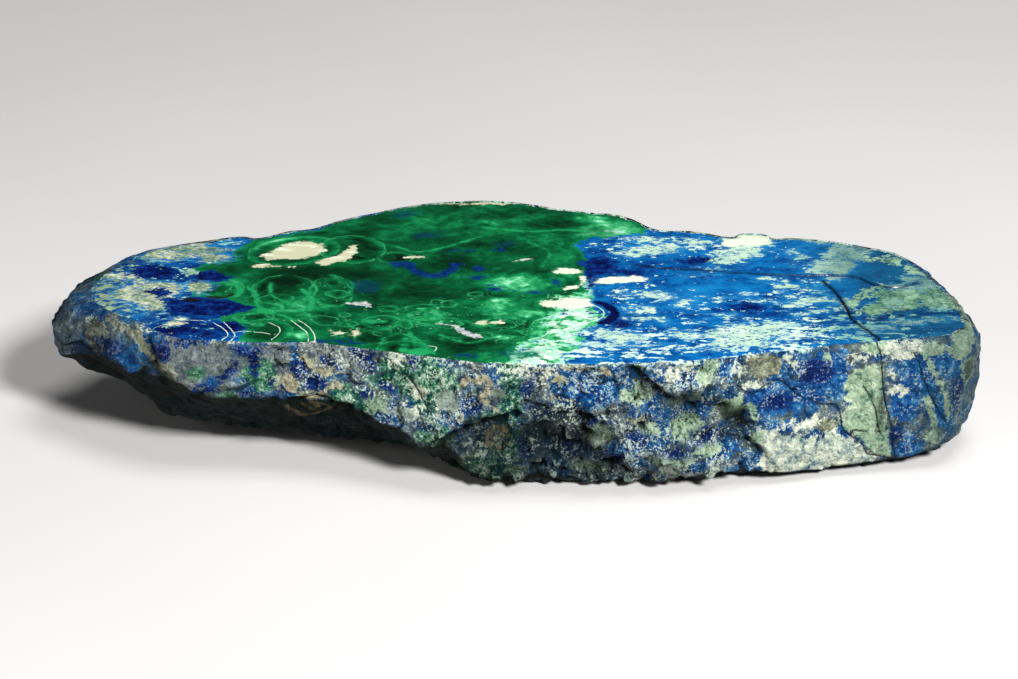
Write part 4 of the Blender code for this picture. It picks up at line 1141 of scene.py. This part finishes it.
def face_patches(paint, colour, fine, mottle, broad):
    """Pale and dark patches on the blue."""
    pale = mottled_tone(paint).fit(0.3, 0.5).ramp(
        (0.0, 0.1, 0.22, 0.2), (0.25, 0.24, 0.42, 0.34), (0.45, 0.36, 0.58, 0.46),
        (0.68, 0.52, 0.74, 0.54), (0.92, *CREAM_WHITE))
    warm = paint.x.step(-66, -78)
    straw = (fine + broad * 0.8).fit(0.6, 0.5).ramp(
        (0.0, 0.04, 0.11, 0.1), (0.3, 0.19, 0.28, 0.15), (0.55, 0.42, 0.47, 0.28),
        (0.95, 0.76, 0.78, 0.58))
    pale = mix(warm * 0.85, pale, straw)
    hair = paint.place.warped(6, 2).stretched(x=2.6, turn=-10).noise(2.8, 4, 0.6, shift=29)
    pale = mix(abs(hair).step(0.085, 0.035) * 0.9, pale, AZURE_MID)
    gaps = paint.place.warped(3, 0.8, shift=16).stretched(x=2.4, turn=-5).noise(1.25, 5, 0.7, shift=73)
    gap_level = paint.y.step(-20, -34, 0.46, 0.26)
    pale = mix((gaps - gap_level).step(0, 0.07), pale, mix(fine.step(-0.2, 0.3), ROYAL, AZURE_LIGHT))
    shred = paint.place.warped(4, 1, shift=6).stretched(x=1.9, turn=-6).noise(1.3, 5, 0.72, shift=37)
    shred = shred * 0.9 + mottle * 0.9
    around = paint.field("face_pale") + shred * 2.4
    colour = mix(around.step(-1.8, 0) * 0.45, colour, PATCH_EDGE)
    colour = colour.patch("face_pale", shred, 2.4, pale, soft=0.16, grow=-0.35)
    navy = (mottle + fine).fit(0.5, 0.5).ramp(
        (0.0, 0.0004, 0.001, 0.014), (0.36, 0.0005, 0.003, 0.045), (0.6, 0.0008, 0.01, 0.11),
        (0.9, *ROYAL))
    return colour.patch("face_navy", mottle + fine * 0.5, 3, navy, soft=0.35)


def face_marks(paint, colour, fine, mottle, broad):
    """Small marks, most of them inside the malachite."""
    colour = colour.patch("face_smudge", broad, 3, SMUDGE_BLUE, soft=1.6, share=0.5)
    colour = colour.patch("face_brown", fine, 0.5, SINK_BROWN, soft=0.4, share=0.92)
    ring = mix(fine.step(0, 0.7), RING_DEEP, RING_LIGHT)
    colour = colour.patch("face_ring", mottle + fine * 0.8, 1.8, ring, soft=0.6, share=0.88, grow=-0.3)
    grey = mix(fine.step(-0.2, 0.4), STONE_GREY, BONE)
    colour = colour.patch("face_grey", fine, 0.8, grey)
    slanting = paint.place.stretched(x=2.4, turn=32).noise(2.6, 3).step(0.05, 0.35)
    ivory = mix(slanting, IVORY, IVORY_LIGHT)
    ivory = mix(paint.x.step(0, 14) * 0.75, ivory, IVORY_COOL)
    colour = colour.patch("face_cream", fine + mottle * 1.4, 0.8, ivory, soft=0.4)
    return colour.patch("face_crescent", fine + mottle, 0.7, CRESCENT_BLUE, soft=0.3)


def face_wear(paint, colour, fine, mottle, broad):
    """A duller far right, a broken pale crust along the rim, pale veins and the open cracks."""
    far = paint.x.step(62, 102) * 0.38
    colour = mix(far, colour, END_TEAL)
    crust = fine * 0.8 + (mottle + broad * 0.8)
    crust = (crust - paint.field("rim_off")).step(-0.35, -0.1)
    crust *= paint.x.step(-22, 4) * paint.x.step(80, 60)
    lip = mix(mottle.step(-0.1, 0.1), AZURE_MID, mix(fine.step(-0.2, 0.3), MINT_GREY, CREAM_WHITE))
    colour = mix(crust * 0.85, colour, lip)
    worn_line = paint.place.noise(1.6, 3, 0.6, shift=44).step(-0.55, -0.1, 0.25, 0.95)
    for name in ("face_vein", "face_twin"):
        colour = colour.line(name, 0.12, CREAM_WHITE, soft=0.09, share=worn_line, bend=fine * 0.3)
    beside = paint.field("face_crack_off").step(1.7, 0.3) * 0.55
    colour = mix(beside, colour, CRACK_SIDE)
    open_share = mottle.step(-0.5, 0.1, 0.6, 1)
    bend = mottle * 0.8
    return colour.line("face_crack", 0.36, CRACK_BLACK, soft=0.24, share=open_share, bend=bend)


def polished_material():
    """The polished face."""
    paint = Paint("polished_malachite_azurite")
    fine = paint.place.warped(4, 0.9, shift=3).noise(1.5, 5, 0.66, shift=5)
    broad = paint.place.noise(8, 4, 0.6, shift=41)
    green = malachite(paint, fine, broad)
    blue = azurite(paint, fine, broad)
    mottle = paint.place.stretched(x=1.5).noise(3.2, 5, 0.64, shift=61)

    # the malachite with its pale halo
    edge = paint.field("face_green") + (broad * 2.2 + mottle * 1.8)
    halo = edge.step(-2.6, -0.2) * paint.field("face_mint").step(-14, -3)
    colour = mix(halo * 0.85, blue, MINT_BRIGHT)
    green = mix(edge.step(2.8, 0.2) * 0.7, green, GREEN_LIVELY)
    colour = mix(edge.step(-0.25, 0.25), colour, green)
    mint = mix(fine.step(-0.25, 0.2), CREAM_WHITE, MINT_BRIGHT)
    mint = mix(mottle.step(0, 0.22), mint, mix(fine.step(-0.2, 0.25), GREEN_LIVELY, GREEN_PALE))
    colour = colour.patch("face_mint", mottle + fine * 0.8, 5, mint, soft=0.3)
    colour = face_patches(paint, colour, fine, mottle, broad)
    colour = face_marks(paint, colour, fine, mottle, broad)
    colour = face_wear(paint, colour, fine, mottle, broad)
    paint.put("Base Color", colour)
    paint.put("Roughness", (fine + mottle).step(-0.4, 0.9, 0.14, 0.3))
    paint.put("IOR", 1.6)
    paint.bump(fine, 0.12, 0.1)
    return paint.material


# where each zone of the rind begins, from its first trace to its full strength, along the stone
GREY_ZONE = (-94, -84)
GREEN_ZONE = (-44, -34)
TEAL_ZONE = (-4, 5)
SAGE_ZONE = (26, 38)
AZURE_ZONE = (54, 62)


def rind_ground(paint, tone, fine, broad, along):
    """The rind's zones, one after another along the stone."""
    streaks = (tip_streaks(paint) + fine * 0.7).fit(0.5, 0.42)
    steel_ground = streaks.ramp(
        (0.0, 0.0005, 0.002, 0.008), (0.32, 0.001, 0.014, 0.07), (0.5, 0.003, 0.038, 0.135),
        (0.64, 0.012, 0.066, 0.165), (0.76, 0.06, 0.11, 0.12), (0.98, 0.26, 0.3, 0.22))
    # grey rock: slate in its hollows, ash over most of it, a few bone grains
    grey_ground = tone.ramp((0.05, *SLATE), (0.6, *ASH), (1.0, *BONE))
    green_ground = tone.ramp(
        (0.0, 0.002, 0.012, 0.01), (0.28, 0.018, 0.065, 0.05), (0.4, 0.065, 0.17, 0.11),
        (0.53, 0.18, 0.36, 0.235), (0.66, 0.38, 0.56, 0.38), (0.84, 0.7, 0.88, 0.62))
    teal_ground = tone.ramp(
        (0.0, 0.0005, 0.003, 0.01), (0.28, 0.004, 0.022, 0.055), (0.38, 0.016, 0.07, 0.15),
        (0.46, 0.035, 0.15, 0.27), (0.54, 0.13, 0.29, 0.33), (0.64, 0.4, 0.57, 0.5),
        (0.8, 0.8, 0.93, 0.8))
    azure_ground = tone.ramp(
        (0.0, 0.001, 0.01, 0.045), (0.28, 0.003, 0.04, 0.13), (0.5, 0.01, 0.105, 0.28),
        (0.64, 0.045, 0.18, 0.36), (0.76, 0.17, 0.32, 0.42), (0.94, 0.5, 0.6, 0.56))
    ground = mix(along.step(*GREY_ZONE), steel_ground, grey_ground)
    ground = mix(along.step(*GREEN_ZONE), ground, green_ground)
    ground = mix(along.step(*TEAL_ZONE), ground, teal_ground)
    sage_ground = tone.ramp(
        (0.0, 0.0005, 0.004, 0.008), (0.28, 0.004, 0.018, 0.045), (0.38, 0.02, 0.06, 0.09),
        (0.48, 0.11, 0.17, 0.1), (0.6, 0.3, 0.4, 0.24), (0.82, 0.72, 0.8, 0.58))
    low = paint.z + broad * 5.0
    sage = low.step(19, 14) * along.step(*SAGE_ZONE)
    ground = mix(sage, ground, sage_ground)
    ground = mix(along.step(*AZURE_ZONE), ground, azure_ground)
    behind = (paint.field("rind_behind") + broad * 8.0).step(3, -3)
    return mix(behind, ground, mix(broad.step(-0.3, 0.3), grey_ground, azure_ground))


def rind_patches(colour, hack, calm):
    """Patches of each mineral, drawn on the front and scattered elsewhere."""
    spread = hack.fit(0.66, 0.5)
    azure = spread.ramp(
        (0.0, 0.001, 0.016, 0.09), (0.36, 0.004, 0.06, 0.25), (0.58, 0.012, 0.125, 0.34),
        (0.78, 0.05, 0.24, 0.46), (1.0, 0.4, 0.56, 0.6))
    mint = spread.ramp(
        (0.0, 0.02, 0.07, 0.06), (0.22, 0.12, 0.23, 0.15), (0.42, 0.27, 0.4, 0.26),
        (0.72, 0.4, 0.54, 0.36), (1.0, 0.65, 0.75, 0.54))
    grey = spread.ramp(
        (0.0, 0.03, 0.055, 0.075), (0.3, 0.12, 0.155, 0.165), (0.6, 0.2, 0.235, 0.23),
        (0.95, 0.4, 0.42, 0.36))
    lively = spread.ramp(
        (0.0, *GREEN_BLACK), (0.3, 0.004, 0.07, 0.03), (0.5, 0.03, 0.2, 0.095),
        (0.68, 0.14, 0.34, 0.21), (0.95, 0.5, 0.66, 0.48))
    sand = spread.ramp(
        (0.0, 0.045, 0.045, 0.022), (0.3, 0.17, 0.18, 0.11), (0.6, 0.3, 0.33, 0.22),
        (0.95, 0.54, 0.58, 0.44))
    white = spread.ramp(
        (0.0, 0.02, 0.09, 0.18), (0.22, 0.16, 0.27, 0.29), (0.42, 0.39, 0.46, 0.39),
        (0.6, 0.58, 0.64, 0.5), (0.9, 0.85, 0.88, 0.71))
    navy = spread.ramp(
        (0.0, 0.0005, 0.002, 0.025), (0.45, 0.001, 0.01, 0.085), (0.68, 0.003, 0.03, 0.17),
        (0.86, 0.03, 0.1, 0.27), (1.0, 0.38, 0.46, 0.5))
    for kind, reach, paint_over, soft in (
            ("grey", 2.6, grey, 0.5), ("green", 3, lively, 0.3), ("azure", 2.4, azure, 0.2),
            ("mint", calm.fit(-1.1, 2.2), mint, 0.12), ("tan", calm.fit(-0.8, 1.7), sand, 0.15),
            ("white", 3, white, 0.2), ("navy", 2.4, navy, 0.14)):
        colour = colour.patch("rind_" + kind, hack, reach, paint_over, soft=soft)
    # dark spots, partly painted shade in the crevices
    return colour.patch("rind_dark", hack, 2.4, DARK_SPOT_AND_SHADE, soft=0.9, share=0.85)


def rind_grains(paint, colour, grain, some, upper_painted_light):
    """A peppering of pale and dark grains, mostly over the middle."""
    thick = paint.place.noise(5, 3, 0.6, shift=66) * 0.6
    # more pale grains where the upper half has its painted light
    pale_grain = (grain + thick + upper_painted_light * 0.1).step(0.38, 0.46)
    colour = mix(pale_grain * some, colour, GRAIN_PALE)
    dark_grain = (grain + thick * 0.8).step(-0.34, -0.42)
    return mix(dark_grain * some, colour, GRAIN_BLUE)


def rind_material():
    """The rough sides and underside."""
    paint = Paint("rough_mottled_rind")
    place = paint.place.warped(5, 1.1, shift=8)
    fine = place.noise(1.2, 5, 0.7, shift=2)
    mottle = place.noise(3.2, 5, 0.66, shift=13)
    broad = paint.place.noise(9, 4, 0.6, shift=27)
    along = paint.x + broad * 9.0
    # the middle is a fine lattice of colours and the two ends are calmer
    busy = along.step(-46, -24) * along.step(62, 44)
    hack = mottle * 0.85 + fine * busy.fit(0.65, 0.6)

    # the upper half of the middle catches the light
    upper_painted_light = paint.z.step(12, 26) * busy
    tone = hack.fit(0.5, 0.5) + upper_painted_light.fit(0.065, busy * 0.03)
    colour = rind_ground(paint, tone, fine, broad, along)
    calm = along.step(54, 66)
    colour = rind_patches(colour, hack, calm)
    grain = place.noise(0.75, 3, 0.7, shift=91) + mottle * 0.25
    some = along.step(-78, -44, 0.15, 0.8) * busy.fit(-0.1, 1)
    some *= paint.field("rind_mint").step(-0.5, 1.2).fit(-0.7, 1)
    some *= calm.fit(-0.45, 1)
    colour = rind_grains(paint, colour, grain, some, upper_painted_light)
    # painted shade over the lower middle of the front and in scattered patches elsewhere
    colour = colour.patch("rind_shade", hack, 3, PAINTED_SHADE_DARK, soft=2.2, share=0.8)
    # crust broken along the rim, painted shade in the hollows, painted highlights on the high spots
    crust = hack * 1.2 + broad * 1.6
    crust = (crust - paint.field("rim_off")).step(-0.3, 0.1)
    crust *= paint.x.step(-40, -10, 0.12, 1)
    crust *= paint.x.step(*GREY_ZONE)
    colour = mix(crust * 0.75, colour, mix(fine.step(-0.3, 0.3), MINT_GREY, CREAM_WHITE))
    pit_shade = (paint.field("relief") + hack * 0.7).step(-0.8, -1.7)
    colour = mix(pit_shade * 0.85, colour, PIT_PAINTED_SHADE)
    # painted highlight on the raised spots of the relief
    wear_and_highlight = (paint.field("relief") + hack * 1.5).step(1, 1.4)
    colour = mix(wear_and_highlight * busy * 0.35, colour, PAINTED_HIGHLIGHT)
    # smooth round grains and curls stand clear of the lattice
    clear = mix(fine.step(-0.5, 0.6), BALL_DARK, BALL_LIGHT)
    colour = colour.patch("rind_ball", hack, 0.35, clear, soft=0.35, share=0.9)
    curl = mix(fine.step(-0.5, 0.4), CURL_DARK, CURL_LIGHT)
    colour = colour.patch("rind_curl", hack, 0.55, curl, soft=0.25, share=0.92)
    # painted shade darkening the tapered tip
    colour = mix(along.step(-94, -106) * 0.4, colour, TIP_PAINTED_SHADE)
    duller = paint.x.step(92, 116)
    colour = mix(duller * 0.5, colour, END_DARK)
    # painted shade on the undercut and the underside, a little weaker where the stone meets the floor
    under_shade = paint.field("rind_under_shade") * paint.z.step(1, 3.5, 0.86, 0.97)
    colour = mix(under_shade, colour, PAINTED_UNDER_SHADE)
    colour = colour.patch("rind_ochre", hack, 0.7, OCHRE, soft=0.4, share=0.8)
    open_share = mottle.step(-0.5, 0.1, 0.5, 0.95)
    colour = colour.line("rind_crack", 0.24, CRACK_BLACK, soft=0.2, share=open_share, bend=fine * 0.5)

    paint.put("Base Color", colour)
    paint.put("Roughness", hack.step(-0.8, 0.8, 0.55, 0.85))
    paint.put("Specular IOR Level", 0.08)
    relief = paint.place.noise(1, 6, 0.62, shift=33) * 0.8 + hack * 0.25
    paint.bump(relief - place.cells(1.9, "F1") * 0.9, 1.0, 0.7)
    return paint.material


# ---- the room ----
TARGET = Vector((-1.07, -6.06, 22.0)) * MM
CAMERA_DISTANCE = 0.916
CAMERA_RISE = math.radians(24.0)
LENS = 120.0
SENSOR = 36.0
FLOOR_SIZE = 6.0


def make_camera():
    """Looks at the front from a little above, as a person at a table would."""
    camera = bpy.data.objects.new("camera", bpy.data.cameras.new("camera"))
    bpy.context.collection.objects.link(camera)
    camera.data.lens = LENS
    camera.data.sensor_width = SENSOR
    back = Vector((0.0, -math.cos(CAMERA_RISE), math.sin(CAMERA_RISE)))
    camera.location = TARGET + back * CAMERA_DISTANCE
    camera.rotation_euler = (math.pi / 2 - CAMERA_RISE, 0.0, 0.0)
    bpy.context.scene.camera = camera


def make_light(name, place, size, power, aim=(0.0, 0.0, 0.02), colour=(1.0, 1.0, 1.0)):
    """A square soft light, aimed at a point."""
    data = bpy.data.lights.new(name, "AREA")
    data.size = size
    data.energy = power
    data.color = colour
    light = bpy.data.objects.new(name, data)
    light.location = place
    light.rotation_euler = (Vector(aim) - Vector(place)).to_track_quat("-Z", "Y").to_euler()
    bpy.context.collection.objects.link(light)


def make_room():
    """A plain pale floor and soft lights."""
    bpy.ops.mesh.primitive_plane_add(size=FLOOR_SIZE)
    floor = bpy.context.object
    floor.name = "floor"
    paint = Paint("pale_floor")
    cloud = paint.place.noise(180, 2)
    paint.put("Base Color", mix(cloud.step(-1, 1), FLOOR_GREY, FLOOR_PALE))
    paint.put("Roughness", 0.9)
    floor.data.materials.append(paint.material)
    make_light("key", (0.52, -0.95, 0.85), 0.24, 30.0)
    make_light("fill", (-0.95, -0.80, 0.50), 0.8, 2.2)
    make_light("overhead", (0.25, -0.10, 1.25), 0.5, 8.0)
    world = bpy.data.worlds.new("room")
    world.use_nodes = True
    world.node_tree.nodes["Background"].inputs["Color"].default_value = (0.018, 0.018, 0.019, 1.0)
    bpy.context.scene.world = world
    bpy.context.scene.view_settings.view_transform = "Standard"


def main():
    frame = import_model()
    specimen = make_specimen(frame["nodes"]["stone"], polished_material(), rind_material())
    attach(specimen, "root")
    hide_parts("stone")
    make_camera()
    make_room()


main()
